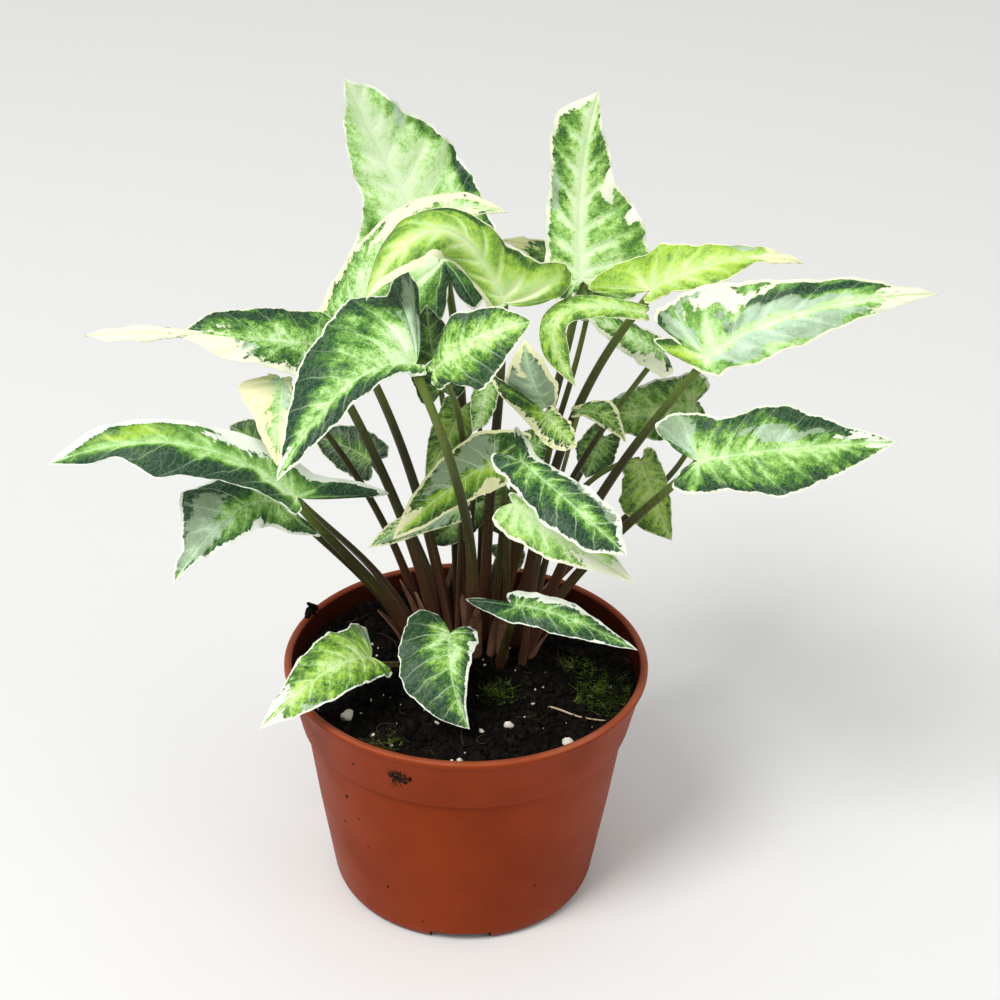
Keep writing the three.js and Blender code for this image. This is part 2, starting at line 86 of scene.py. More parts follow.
# Where the side veins end on the outline, as shares of the way round the half blade.
VEIN_ENDS = (0, 0.2, 0.33, 0.43, 0.52, 0.6, 0.68, 0.76, 0.84, 0.92, 1)

# What a leaf has where its own entry doesn't say otherwise.
PLAIN_LEAF = dict(
    lobe=(4, 4), sway=(0, 0), fold=(0, 0), curl=(0, 0), edge=(), bow=(0, 0, 0), stalk=SLIM,
    slot="leaf_green", wavy=0.6, bone=0.15, even=0, paint=(),
)


def a_leaf(**own):
    """A leaf's facts: its own and the plain ones. Its face stays the same to the tip unless it turns."""
    return {**PLAIN_LEAF, "turn": own["face"], **own}


# Each leaf: the joint with its stalk, the middle and tip of its midrib, the way its upper side faces at
# the joint and at the tip (turn), its half widths and lobe lengths, left and right as seen from above
# with the tip ahead. fold and curl bend a half up from the midrib and sway swings a lobe outwards, in
# degrees. edge lists swellings and bays of the outline: the half, the place round it, how wide and how
# far out. root is where its stalk enters the soil, and bow pulls the stalk sideways below the blade.
# A leaf with no root sits on its neighbour's stalk. rim is the white margin's width, warm how creamy it
# is, wavy the height of the margin's waves. mint, dark and lime say how much of each green there is,
# bone how pale the bands along the veins are, and even how calm the grain and how smooth the margin is.
# paint adds patches: tone, half, place round the outline, place outwards, and the two radii.
# A leaf in the shaded slot gets painted shade: its colours are darkened and yellowed for the shade it lies in
# deep in the clump.
LEAVES = {
    "top_left": a_leaf(
        joint=(-10, 48, 205), mid=(-27, 54, 232), tip=(-41, 46, 266), face=(0.2, -0.95, 0.2),
        left=(27, 13, 7), right=(21, 22, 12), lobe=(16, 22), sway=(-10, -32),
        edge=(("L", 0.47, 0.06, 3.5), ("R", 0.88, 0.05, 1.2), ("R", 0.77, 0.02, -1)), root=(-0.5, 27),
        stalk=STOUT, slot="leaf_pale", rim=(0.8, 0.7), warm=0.15, wavy=1.4, mint=0.88, dark=0.02,
        lime=0.08, bone=0.3, even=0.45,
        paint=(
            ("dark", "R", 0.5, 0.97, 0.2, 0.1), ("dark", "L", 0.5, 0.8, 0.05, 0.12),
            ("grey", "L", 0.42, 0.95, 0.06, 0.25), ("grey", "R", 0.78, 0.85, 0.04, 0.2),
            # The two broad dark patches over the lobes are painted shade, where the lobes lie under the arch.
            ("dark", "L", 0.12, 0.4, 0.16, 1.2), ("dark", "R", 0.14, 0.4, 0.18, 1.2),
        ),
    ),
    "arch": a_leaf(
        joint=(10, -12, 218), mid=(-9, -22, 245), tip=(-30, -32, 227), face=(0, -0.9, 0.35),
        turn=(-0.5, -0.3, 0.8), left=(6, 9, 7), right=(24, 8, 8), lobe=(3, 7), sway=(0, 14),
        fold=(-10, 0), curl=(-30, -40), edge=(("R", 0.5, 0.06, -7), ("R", 0.42, 0.06, -8)), root=(5, 18),
        stalk=STOUT, slot="leaf_pale", rim=(2.4, 0.35), warm=0.75, wavy=0.7, mint=0.34, dark=0.04,
        lime=0.52, bone=0.6, even=0.92,
        paint=(("dark", "R", 0.6, 0.96, 0.2, 0.08), ("mint", "R", 0.35, 0.5, 0.15, 0.5)),
    ),
    "arch_back": a_leaf(
        joint=(-38, 0, 201), mid=(-19, 8, 233), tip=(10, 12, 237), face=(-0.3, -0.6, 0.75),
        left=(12, 9, 6), right=(10, 9, 5), lobe=(8, 6), root=(-3.5, 14), bow=(4, 0, 0), stalk=STOUT,
        slot="leaf_pale", rim=(2.6, 0.7), warm=0.65, wavy=0.8, mint=0.55, dark=0.15, lime=0.1, even=0.1,
        paint=(("cream", "L", 0.75, 0.7, 0.14, 0.5), ("cream", "R", 0.85, 0.6, 0.08, 0.5)),
    ),
    "far_left": a_leaf(
        joint=(-46, -12, 203), mid=(-78, -22, 210), tip=(-112, -28, 212), face=(0, -0.55, 0.83),
        left=(12, 7, 2), right=(12, 8, 2), lobe=(8, 8),
        edge=(
            ("L", 0.7, 0.06, -3.5), ("R", 0.6, 0.04, 1), ("R", 0.7, 0.05, -3.5), ("R", 0.8, 0.05, 0.8),
            ("L", 0.82, 0.05, 1), ("R", 0.9, 0.05, 1.2), ("L", 0.9, 0.05, 1.2),
        ),
        root=(-8.5, 12.5), bow=(6, 0, 0), stalk=STOUT, rim=(2.6, 0.4), warm=0.45, wavy=0.9, mint=0.32,
        dark=0.12, lime=0.3,
        paint=(
            ("cream", "L", 0.72, 0.8, 0.2, 0.7), ("cream", "R", 0.88, 0.5, 0.22, 1.8),
            ("cream", "L", 0.88, 0.5, 0.22, 1.8), ("grey", "L", 0.62, 0.5, 0.1, 0.3),
            ("dark", "R", 0.5, 0.85, 0.18, 0.2),
        ),
    ),
    "cream_left": a_leaf(
        joint=(-56, -16, 193), mid=(-56.4, -25, 183.2), tip=(-57, -30, 171), face=(-0.1, -0.95, 0.2),
        left=(3, 5, 4), right=(14, 8.5, 4), lobe=(1, 2), edge=(("R", 0.26, 0.08, -8),), root=(-11.5, 18),
        slot="leaf_pale", rim=(2, 2.2), warm=0.85, wavy=0.5, mint=0.5, dark=0, lime=0.3, even=0.4,
        paint=(
            ("cream", "R", 0.5, 0.7, 0.3, 0.55), ("grey", "L", 0.45, 0.4, 0.3, 0.6),
            ("grey", "R", 0.32, 0.3, 0.14, 0.3), ("cream", "L", 0.8, 0.6, 0.2, 0.6),
            ("lime", "R", 0.6, 0.45, 0.12, 0.2),
        ),
    ),
    "centre_left": a_leaf(
        joint=(-15, -42, 212), mid=(-34, -56, 211), tip=(-53, -68, 187), face=(-0.35, -0.6, 0.7),
        left=(4, 6, 5), right=(26, 18, 6), lobe=(3, 23), sway=(0, 55), root=(3, 9.5), bow=(20, -38, 0),
        stalk=STOUT, rim=(0.7, 0.5), warm=0.15, wavy=0.9, mint=0.26, dark=0.17, lime=0.2, bone=0.2,
        even=0.25,
        paint=(
            ("dark", "R", 0.28, 0.94, 0.14, 0.2), ("dark", "R", 0.1, 0.85, 0.1, 0.25),
            ("grey", "R", 0.22, 0.5, 0.17, 0.42), ("dark", "L", 0.72, 0.8, 0.2, 0.4),
            ("dark", "R", 0.75, 0.8, 0.16, 0.35), ("mint", "R", 0.4, 0.3, 0.16, 0.4),
            ("cream", "R", 0.93, 0.7, 0.05, 0.5),
        ),
    ),
    "centre": a_leaf(
        joint=(-10, -42, 210), mid=(3, -48, 224), tip=(18, -46, 228), face=(0, -0.75, 0.65),
        left=(3, 9, 6), right=(6, 14, 8), lobe=(2, 3), root=(1.2, 14.3), bow=(4, 14, 0), rim=(0.3, 0.4),
        warm=0.3, mint=0.3, dark=0.22, lime=0.4, even=0.25,
        paint=(
            ("dark", "L", 0.55, 0.9, 0.3, 0.22), ("dark", "R", 0.6, 0.85, 0.25, 0.22),
            ("cream", "R", 0.2, 0.95, 0.12, 0.2), ("dark", "R", 0.35, 0.7, 0.08, 0.2),
        ),
    ),
    # Its lime is partly the leaf's own yellow-green and partly painted light, the glow of a leaf lit from
    # behind.
    "cream_fold": a_leaf(
        joint=(23, -26, 191), mid=(18, -30, 204), tip=(16, -28, 214), face=(-0.5, -0.8, 0.3),
        left=(9, 10, 5), right=(4, 8, 5), lobe=(2, 2), root=(9.5, 13.5), slot="leaf_pale", rim=(1, 1.4),
        warm=0.9, wavy=0.5, mint=0.2, dark=0.5, lime=0.3, bone=0.3, even=0.6,
        paint=(
            ("grey", "L", 0.5, 0.4, 0.6, 0.9), ("grey", "R", 0.5, 0.4, 0.6, 0.9),
            ("cream", "L", 0.85, 0.7, 0.15, 0.4),
        ),
    ),
    "cream_tip": a_leaf(
        joint=(23, -32.6, 192), mid=(27, -35.4, 188), tip=(32, -36, 183), face=(0.1, -0.8, 0.6),
        left=(3, 4, 3), right=(6, 6, 4), lobe=(2, 20), sway=(0, 12), slot="leaf_pale", rim=(0.8, 1.7),
        warm=0.85, wavy=1.2, mint=0.05, dark=0.32, lime=0.5,
        paint=(("lime", "R", 0.35, 0.4, 0.15, 0.4), ("dark", "R", 0.12, 0.5, 0.08, 0.4)),
    ),
    "top_right": a_leaf(
        joint=(34, 34, 206), mid=(33, 38, 236), tip=(37, 34, 268), face=(-0.05, -0.97, 0.2),
        left=(11, 10, 11), right=(22, 14, 5), lobe=(8, 8),
        edge=(("L", 0.87, 0.05, 3), ("R", 0.52, 0.08, 3), ("R", 0.68, 0.04, -1.5)), root=(8.5, 23),
        stalk=STOUT, rim=(1.8, 0.9), warm=0.35, wavy=1.5, mint=0.4, dark=0.02, lime=0.34, bone=0.9,
        even=0.35,
        paint=(
            ("grey", "L", 0.66, 0.85, 0.08, 0.2), ("cream", "R", 0.68, 0.9, 0.04, 0.3),
            ("cream", "R", 0.56, 0.97, 0.025, 0.3), ("dark", "L", 0.25, 0.8, 0.1, 0.3),
            ("cream", "L", 0.38, 0.9, 0.06, 0.25),
        ),
    ),
    "dark_notch": a_leaf(
        joint=(38, 50, 191), mid=(25, 54, 204), tip=(8, 50, 212), face=(0, -0.5, 0.85), left=(7, 7, 3),
        right=(8, 7, 3), lobe=(5, 5), root=(9, 28), slot="leaf_dark", rim=(0.5, 0.9), warm=1, mint=0.1,
        dark=0.1, lime=0.35, even=0.5,
        paint=(("cream", "R", 0.9, 0.6, 0.12, 0.9), ("cream", "L", 0.92, 0.6, 0.1, 0.9)),
    ),
    # Its lime is partly the leaf's own yellow-green and partly painted light, the glow of a leaf lit from
    # behind.
    "right_high": a_leaf(
        joint=(54, 4, 216), mid=(74, -2, 228), tip=(99, 0, 228), face=(0, -0.6, 0.8), left=(13, 7, 4),
        right=(4, 7, 2), lobe=(25, 3), sway=(13, 0), edge=(("R", 0.74, 0.06, -2),), root=(14.5, 14.5),
        bow=(-24, 0, 0), stalk=STOUT, rim=(0.4, 0.5), warm=0.75, wavy=0.8, mint=0.54, dark=0, lime=0.6,
        bone=0.3, even=0.7,
        paint=(
            ("cream", "L", 0.92, 0.4, 0.12, 0.9), ("cream", "R", 0.9, 0.5, 0.1, 0.8),
            ("grey", "L", 0.76, 0.8, 0.06, 0.3), ("lime", "R", 0.72, 0.5, 0.15, 0.5),
        ),
    ),
    "right_loop": a_leaf(
        joint=(52, 1, 210), mid=(26, -8, 212), tip=(32, -12, 191), face=(0, -0.6, 0.8), left=(3, 4, 4),
        right=(3, 4, 4), lobe=(2, 2), rim=(0.3, 0.3), warm=0.6, wavy=0.3, mint=0.4, dark=0, lime=0.48,
        even=0.4,
    ),
    "right_long": a_leaf(
        joint=(70, -22, 207), mid=(97, -22, 222), tip=(137, -14, 225), face=(0, -0.75, 0.65),
        left=(19, 10, 5), right=(13, 9, 4), lobe=(10, 27), sway=(35, -64),
        edge=(("R", 0.2, 0.08, 3.5), ("R", 0.39, 0.06, -6), ("R", 0.5, 0.05, -1.5)), root=(19.8, 14.5),
        bow=(-8, 0, 0), stalk=STOUT, slot="leaf_pale", rim=(1.2, 0.8), warm=0.45, wavy=1.2, mint=0.5,
        dark=0.04, lime=0.04, bone=0.4, even=0.6,
        paint=(
            ("grey", "R", 0.55, 0.45, 0.22, 0.4), ("grey", "L", 0.62, 0.35, 0.2, 0.22),
            ("grey", "L", 0.3, 0.55, 0.1, 0.4), ("cream", "L", 0.95, 0.5, 0.14, 1),
            ("cream", "R", 0.9, 0.7, 0.12, 0.6), ("dark", "L", 0.72, 0.75, 0.09, 0.14),
            ("dark", "L", 0.62, 0.6, 0.07, 0.12), ("dark", "L", 0.5, 0.35, 0.03, 0.1),
            ("cream", "L", 0.48, 0.75, 0.12, 0.2), ("grey", "L", 0.4, 0.98, 0.07, 0.22),
            ("dark", "L", 0.2, 0.9, 0.1, 0.15), ("grey", "R", 0.7, 0.6, 0.12, 0.35),
            ("lime", "R", 0.2, 0.6, 0.12, 0.4), ("mint", "R", 0.55, 0.9, 0.25, 0.35),
            ("dark", "R", 0.14, 0.85, 0.07, 0.2),
        ),
    ),
    "right_under": a_leaf(
        joint=(60, 22, 187), mid=(48, 20, 194), tip=(34, 18, 202), face=(0, -0.5, 0.85), left=(9, 7, 4),
        right=(5, 5, 3), lobe=(5, 5), root=(12.3, 19), bow=(-14, 0, 0), rim=(1.5, 1), warm=0.4, wavy=0.5,
        mint=0.4, dark=0.2, lime=0.3,
        paint=(("cream", "L", 0.4, 0.7, 0.2, 0.4), ("dark", "L", 0.2, 0.6, 0.1, 0.4)),
    ),
    "right_mid": a_leaf(
        joint=(69, -26, 174), mid=(96, -28, 180), tip=(129, -22, 180), face=(0, -0.8, 0.6),
        left=(15, 13, 5), right=(10, 14, 7), lobe=(12, 9), sway=(15, 0),
        edge=(("L", 0.46, 0.07, -3), ("L", 0.63, 0.04, 1.5)), root=(17.5, 9.5), stalk=STOUT,
        rim=(0.7, 0.7), warm=0.2, wavy=1.3, mint=0.1, dark=0.04, lime=0.34, bone=0.5, even=0.4,
        paint=(
            ("grey", "L", 0.25, 0.6, 0.12, 0.8), ("dark", "L", 0.65, 0.9, 0.14, 0.2),
            ("grey", "L", 0.66, 0.45, 0.12, 0.22), ("cream", "L", 0.85, 0.7, 0.06, 0.4),
            ("cream", "R", 0.94, 0.6, 0.05, 0.5), ("cream", "L", 0.95, 0.4, 0.05, 0.8),
            ("dark", "R", 0.5, 0.95, 0.2, 0.13), ("dark", "R", 0.3, 0.97, 0.12, 0.12),
        ),
    ),
    "right_back": a_leaf(
        joint=(75, 56, 152), mid=(59, 62, 146), tip=(39, 60, 143), face=(0, -0.8, 0.55), left=(14, 11, 6),
        right=(10, 9, 5), lobe=(6, 6), root=(14, 24.5), slot="leaf_dark", rim=(0.4, 0.8), warm=0.3,
        wavy=0.9, mint=0.52, dark=0.06, lime=0.36, bone=0.6,
        paint=(("cream", "L", 0.3, 0.95, 0.15, 0.1),),
    ),
    "right_low": a_leaf(
        joint=(56, 32, 142), mid=(62, 34, 126), tip=(68, 30, 113), face=(0.1, -0.9, 0.4), left=(6, 6, 3),
        right=(7, 12, 8), root=(18.5, 19.5), bow=(-8, 0, 0), slot="leaf_dark", rim=(0.3, 0.3), warm=0.8,
        wavy=0.8, mint=0.38, dark=0.04, lime=0.52, bone=0.6,
    ),
    "centre_right": a_leaf(
        joint=(16, -40, 180), mid=(31, -55, 174), tip=(47, -62, 162), face=(0.35, -0.7, 0.6),
        left=(5, 7, 8), right=(8, 10, 8), lobe=(15, 8), sway=(20, 0), root=(12, 9.5), rim=(2.2, 0.8),
        warm=0.1, wavy=0.9, mint=0, dark=0.48, lime=0.24, bone=0.4, even=0.3,
        paint=(
            ("grey", "L", 0.75, 0.85, 0.18, 0.28), ("cream", "L", 0.9, 0.8, 0.05, 0.4),
            ("dark", "R", 0.7, 0.7, 0.2, 0.4), ("dark", "L", 0.3, 0.7, 0.12, 0.4),
            ("cream", "L", 0.22, 0.95, 0.05, 0.2),
        ),
    ),
    "centre_fold": a_leaf(
        joint=(14, -35.6, 163.3), mid=(29, -44, 157), tip=(50, -56, 149), face=(0.2, -0.85, 0.5),
        left=(3, 7, 4), right=(9, 8, 3), lobe=(3, 3), slot="leaf_pale", rim=(0.6, 1), warm=0.4, wavy=0.5,
        mint=0.55, dark=0, lime=0.4, bone=0.3, even=0.5,
        paint=(("cream", "R", 0.85, 0.6, 0.16, 0.7), ("cream", "L", 0.92, 0.5, 0.08, 0.8)),
    ),
    "centre_under": a_leaf(
        joint=(8, -17, 167.5), mid=(-7, -24, 160), tip=(-22, -38.5, 151.5), face=(-0.1, -0.9, 0.3),
        left=(8, 6, 4), right=(10, 8, 4), lobe=(3, 14), sway=(0, -15), root=(7.5, 9), slot="leaf_pale",
        rim=(1.1, 0.9), warm=0.9, wavy=0.5, mint=0.14, dark=0.44, lime=0.62, bone=0.25, even=0.6,
        paint=(
            ("grey", "R", 0.5, 0.5, 0.3, 0.5), ("dark", "R", 0.5, 0.5, 0.3, 0.5),
            ("cream", "L", 0.42, 0.8, 0.1, 0.3), ("cream", "R", 0.9, 0.6, 0.12, 0.8),
            ("lime", "L", 0.6, 0.4, 0.3, 0.6), ("lime", "L", 0.25, 0.4, 0.2, 0.6),
            ("mint", "L", 0.3, 0.3, 0.12, 0.3),
        ),
    ),
    "shade_low": a_leaf(
        joint=(-1, -5.2, 143.7), mid=(-16, -17, 145), tip=(-30, -31, 144), face=(0, -0.9, 0.4),
        left=(4, 4, 3), right=(4, 4, 3), lobe=(2, 2), slot="leaf_pale", rim=(0.8, 0.8), warm=0.7,
        wavy=0.4, mint=0.3, dark=0, lime=0.15,
        paint=(("cream", "R", 0.6, 0.5, 0.3, 0.6), ("grey", "L", 0.7, 0.4, 0.3, 0.6)),
    ),
    "left_long": a_leaf(
        joint=(-52, -24, 157), mid=(-84, -34, 180), tip=(-125, -34, 172), face=(0, -0.7, 0.7),
        left=(5, 9, 6), right=(9, 7, 7), lobe=(4, 32), sway=(0, 28),
        edge=(("L", 0.69, 0.045, 3), ("L", 0.79, 0.04, -2.5)), root=(-12.5, 9), stalk=STOUT, rim=(0.5, 3),
        warm=0.05, wavy=0.9, mint=0.24, dark=0.18, lime=0.12, bone=0.25, even=0.7,
        paint=(
            ("dark", "L", 0.65, 0.6, 0.25, 0.5), ("cream", "R", 0.55, 0.8, 0.1, 0.5),
            ("lime", "R", 0.78, 0.5, 0.1, 0.3), ("dark", "R", 0.2, 0.7, 0.12, 0.5),
            ("mint", "L", 0.5, 0.15, 0.3, 0.15),
        ),
    ),
    "left_low": a_leaf(
        joint=(-59, -12, 148), mid=(-73, -20, 148), tip=(-90, -32, 130), face=(-0.2, -0.85, 0.5),
        left=(8, 8, 3), right=(11, 12, 7), lobe=(18, 3),
        edge=(("R", 0.65, 0.05, 4), ("R", 0.82, 0.06, -2.5)), root=(-16, 13.5), rim=(1.2, 0.9), warm=0.05,
        wavy=1, mint=0.24, dark=0.34, lime=0.05, bone=0.25, even=0.4,
        paint=(
            ("grey", "R", 0.8, 0.45, 0.2, 0.7), ("grey", "L", 0.8, 0.3, 0.15, 0.5),
            ("cream", "L", 0.5, 0.9, 0.08, 0.25), ("dark", "R", 0.55, 0.7, 0.2, 0.4),
            ("cream", "L", 0.95, 0.5, 0.06, 0.8),
        ),
    ),
    "left_shade": a_leaf(
        joint=(-67, 40, 131), mid=(-75, 46, 139), tip=(-82, 50, 142), face=(0, -0.8, 0.5), left=(9, 9, 6),
        right=(9, 9, 6), root=(-14, 22.5), slot="leaf_dark", rim=(0.3, 0.3), warm=0.3, mint=0.1, dark=0.3,
        lime=0.05,
    ),
    "rim_left": a_leaf(
        joint=(-30, -22, 98), mid=(-44, -38, 102), tip=(-63, -50, 89), face=(-0.1, -0.55, 0.83),
        left=(9, 10, 6), right=(13, 10, 4), lobe=(4, 14), sway=(0, 30), root=(-8, 4.5), rim=(0.6, 0.6),
        warm=0.1, wavy=0.7, mint=0.24, dark=0.08, lime=0.5, bone=0.3, even=0.35,
        paint=(
            ("cream", "R", 0.9, 0.7, 0.14, 0.6), ("cream", "L", 0.93, 0.7, 0.1, 0.6),
            ("grey", "R", 0.2, 0.7, 0.12, 0.4), ("grey", "L", 0.75, 0.95, 0.05, 0.2),
        ),
    ),
    "front": a_leaf(
        joint=(-5, -18, 105), mid=(-4, -32, 98), tip=(2, -42, 85), face=(0, -0.8, 0.6), left=(9, 6, 2),
        right=(15, 16, 9), lobe=(4, 9), root=(-2, 4), rim=(0.9, 0.35), warm=0.1, mint=0, dark=0.54,
        lime=0.36, bone=0.2, even=0.3,
        paint=(
            ("mint", "R", 0.5, 0.2, 0.12, 0.2), ("dark", "R", 0.35, 0.75, 0.3, 0.4),
            ("mint", "L", 0.6, 0.35, 0.17, 0.4), ("cream", "L", 0.4, 0.95, 0.14, 0.18),
            ("grey", "L", 0.9, 0.4, 0.1, 0.6),
        ),
    ),
    "front_right": a_leaf(
        joint=(16, -21, 118), mid=(31, -27, 118), tip=(54, -31, 109), face=(0, -0.65, 0.75),
        left=(5, 5, 2), right=(6, 6, 3), lobe=(5, 22), sway=(0, -15), root=(10, 3), rim=(1.3, 0.4),
        warm=0.05, mint=0.05, dark=0.32, lime=0.2, bone=0.25, even=0.3,
        paint=(
            ("cream", "L", 0.5, 0.8, 0.2, 0.35), ("dark", "R", 0.2, 0.6, 0.15, 0.6),
            ("cream", "R", 0.75, 0.95, 0.05, 0.2),
        ),
    ),
    "dark_centre": a_leaf(
        joint=(-10, 28, 169), mid=(-13, 32, 181), tip=(-15, 34, 196), face=(0, -0.9, 0.4), left=(8, 8, 5),
        right=(8, 8, 5), root=(-2.5, 21), slot="leaf_dark", rim=(0.2, 0.2), warm=0.5, mint=0.05, dark=0.2,
        lime=0.35,
    ),
    "left_back": a_leaf(
        joint=(-34, 48, 131), mid=(-43, 54, 133), tip=(-55, 58, 135), face=(0, -0.8, 0.5), left=(8, 8, 5),
        right=(8, 8, 5), root=(-6, 26.5), slot="leaf_dark", rim=(0.3, 0.3), warm=0.4, mint=0, dark=0.45,
        lime=0.05,
    ),
    "low_shade": a_leaf(
        joint=(2, 24, 129), mid=(-6, 20, 122), tip=(-14, 16, 118), face=(0, -0.8, 0.5), left=(6, 6, 4),
        right=(6, 6, 4), root=(2.8, 22.5), slot="leaf_dark", rim=(0.2, 0.2), warm=0.5, wavy=0.4, mint=0.1,
        dark=0.15, lime=0.3,
    ),
}

# Small leaves deep in the clump, given in the same way. They have no solids of their own in the model.
INNER_LEAVES = {
    "inner_left": a_leaf(
        joint=(-3.2, 4, 173.9), mid=(-6.8, 0, 166), tip=(-13.7, -4, 153.8), face=(0.1, -0.9, 0.35),
        left=(6, 6, 4), right=(6, 6, 3), root=(-3, 9), stalk=THIN, slot="leaf_dark", rim=(0.2, 0.2),
        warm=0.6, mint=0.35, dark=0.1, lime=0.5,
    ),
    "inner_right": a_leaf(
        joint=(13.5, 4, 153.7), mid=(20.2, 3, 162.3), tip=(28.8, 3, 168.2), face=(-0.2, -0.9, 0.35),
        left=(6, 6, 4), right=(6, 6, 4), lobe=(5, 5), root=(11.2, 16.8), stalk=THIN, rim=(0.3, 0.3),
        warm=0.4, wavy=0.7, mint=0.25, dark=0.35, lime=0.2,
    ),
    "inner_top": a_leaf(
        joint=(4.8, 0, 184.5), mid=(3.7, -3, 178.4), tip=(0.8, -6, 171.5), face=(0.1, -0.85, 0.5),
        left=(4, 4, 3), right=(4, 4, 2), lobe=(3, 3), root=(-0.5, 17.5), stalk=THIN, rim=(0.4, 0.3),
        warm=0.4, mint=0.45, dark=0.1, lime=0.35,
    ),
    "low_back": a_leaf(
        joint=(43.9, 44, 144), mid=(41, 42, 138.1), tip=(38.5, 38, 131.8), face=(0.1, -0.9, 0.4),
        left=(6, 7, 4), right=(6, 7, 4), root=(12.5, 30), stalk=THIN, slot="leaf_dark", rim=(0.2, 0.2),
        warm=0.4, mint=0.2, dark=0.25, lime=0.2,
    ),
    "inner_low": a_leaf(
        joint=(6.5, 48, 117.6), mid=(9.3, 46, 112.5), tip=(11.6, 44, 105), face=(0.1, -0.85, 0.5),
        left=(7, 7, 4), right=(7, 7, 4), root=(-12, 32), stalk=THIN, slot="leaf_dark", rim=(0.2, 0.2),
        warm=0.5, wavy=0.5, mint=0.1, dark=0.2, lime=0.4,
    ),
    "rolled_right": a_leaf(
        joint=(32.5, -24, 188.6), mid=(39.6, -26, 188.4), tip=(47, -28, 181), face=(0.1, -0.75, 0.65),
        left=(2, 5, 2), right=(2, 4, 2), lobe=(2, 2), fold=(20, 30), root=(18, 2), stalk=THIN,
        slot="leaf_dark", rim=(1, 0.8), warm=1, wavy=0.5, mint=0.3, dark=0.2, lime=0.4,
    ),
    "inner_young": a_leaf(
        joint=(11.3, 48, 99.1), mid=(14.5, 46, 95.9), tip=(16.7, 44, 90.7), face=(0.1, -0.85, 0.5),
        left=(5, 5, 3), right=(5, 5, 3), lobe=(3, 3), root=(4, 32), stalk=THIN, rim=(0.3, 0.3), warm=0.4,
        wavy=0.5, mint=0, dark=0.3, lime=0.3,
    ),
}

# Papery sheaths at the feet of the stalks: the stalk, the height above the soil and the way it faces.
SHEATHS = (
    ("far_left", 20, -60), ("rim_left", 13, -30), ("centre_left", 24, 20), ("front", 12, 60),
    ("centre", 20, -40), ("centre_under", 18, 40), ("centre_right", 22, -20), ("right_mid", 16, 80),
    ("left_low", 15, -80), ("cream_left", 22, -50),
)

# The camera looks down on the plant and is turned a little on its axis. Lengths are in metres.
CAMERA_ELEVATION = math.radians(29.6)
CAMERA_ROLL = 0.023
CAMERA_DISTANCE = 0.7
CAMERA_TARGET = Vector((0.0099, 0, 0.1442))
CAMERA_LENS = 79.5
SENSOR = 36

# The lamps: place and size in metres, and where they are aimed.
LAMPS = (("Key", (-1.0, -1.25, 2.2), 1.1), ("Fill", (1.7, -1.2, 1.4), 1.6))
LAMP_AIM = Vector((0, 0, 0.12))
FLOOR_REACH = 8.0


# ---------------------------------------------------------------------------------------------------
# Settings that a user would change.


def colour(red, green, blue):
    """A colour given as it looks on screen, 0 to 255, as linear values with alpha."""
    shares = [channel / 255 for channel in (red, green, blue)]
    linear = [s / 12.92 if s <= 0.04045 else ((s + 0.055) / 1.055) ** 2.4 for s in shares]
    return (*linear, 1.0)


def colour_property(name, description, red, green, blue):
    return bpy.props.FloatVectorProperty(
        name=name, description=description, subtype="COLOR", size=4, min=0, max=1,
        default=colour(red, green, blue),
    )


def length_property(name, description, millimetres):
    return bpy.props.FloatProperty(
        name=name, description=description, default=millimetres * MM, min=0, unit="LENGTH"
    )


def amount_property(name, description, default):
    return bpy.props.FloatProperty(name=name, description=description, default=default, min=0)


def count_property(name, description, default):
    return bpy.props.IntProperty(name=name, description=description, default=default, min=0)


class LeafSettings(bpy.types.PropertyGroup):
    thickness: length_property("Thickness", "How thick a blade is", 0.5)
    quilting: length_property("Quilting", "How far a blade swells between its veins", 0.75)
    ruffle: amount_property("Ruffle", "How strongly the margins wave", 1.25)
    vein_width: length_property("Vein width", "Width of a side vein at the midrib", 0.4)
    dark: colour_property("Dark speckle", "The darkest blue-green speckles", 30, 66, 42)
    deep: colour_property("Deep green", "Darker parts of the green", 58, 106, 42)
    green: colour_property("Green", "The blade between its markings", 104, 154, 60)
    light: colour_property("Light green", "Paler parts between the veins", 155, 206, 110)
    mint: colour_property("Mint", "Pale parts along the veins", 205, 239, 170)
    pale: colour_property("Pale mint", "The palest parts and the veins", 230, 249, 208)
    lime: colour_property("Lime", "Yellow-green parts", 168, 206, 66)
    grey: colour_property("Grey green", "Silvery sectors", 186, 212, 190)
    cream: colour_property("Cream", "Warm margins", 244, 240, 184)
    white: colour_property("White", "Cool margins", 238, 245, 232)


class StalkSettings(bpy.types.PropertyGroup):
    foot: colour_property("Foot", "The stalk just above the soil", 92, 56, 40)
    # The middle colour is partly the stalks' own olive-brown and partly painted shade, for the shade half way
    # up in the clump.
    middle: colour_property("Middle", "The stalk half way up", 52, 47, 20)
    head: colour_property("Head", "The stalk under the blade", 98, 116, 46)
    sheath: colour_property("Sheath", "The papery wings at the foot", 140, 102, 80)
    flare: length_property("Flare", "How far the wings at a stalk's foot stand out", 0.9)


class SoilSettings(bpy.types.PropertyGroup):
    peat: colour_property("Peat", "Damp peat", 9, 7, 5)
    peat_dry: colour_property("Dry peat", "Drier crumbs", 36, 28, 21)
    perlite: colour_property("Perlite", "White grains", 236, 228, 214)
    moss: colour_property("Moss", "Moss on the soil", 34, 50, 12)
    fibre: colour_property("Fibre", "Dead roots and fibres", 96, 80, 54)
    relief: amount_property("Relief", "How strong the lumps in the soil are", 1)
    crumbs: count_property("Crumbs", "How many loose crumbs lie on the soil", 1500)
    # The small grains are partly perlite and partly painted glints on the damp soil.
    grains: count_property("Perlite grains", "How many small white grains there are", 110)


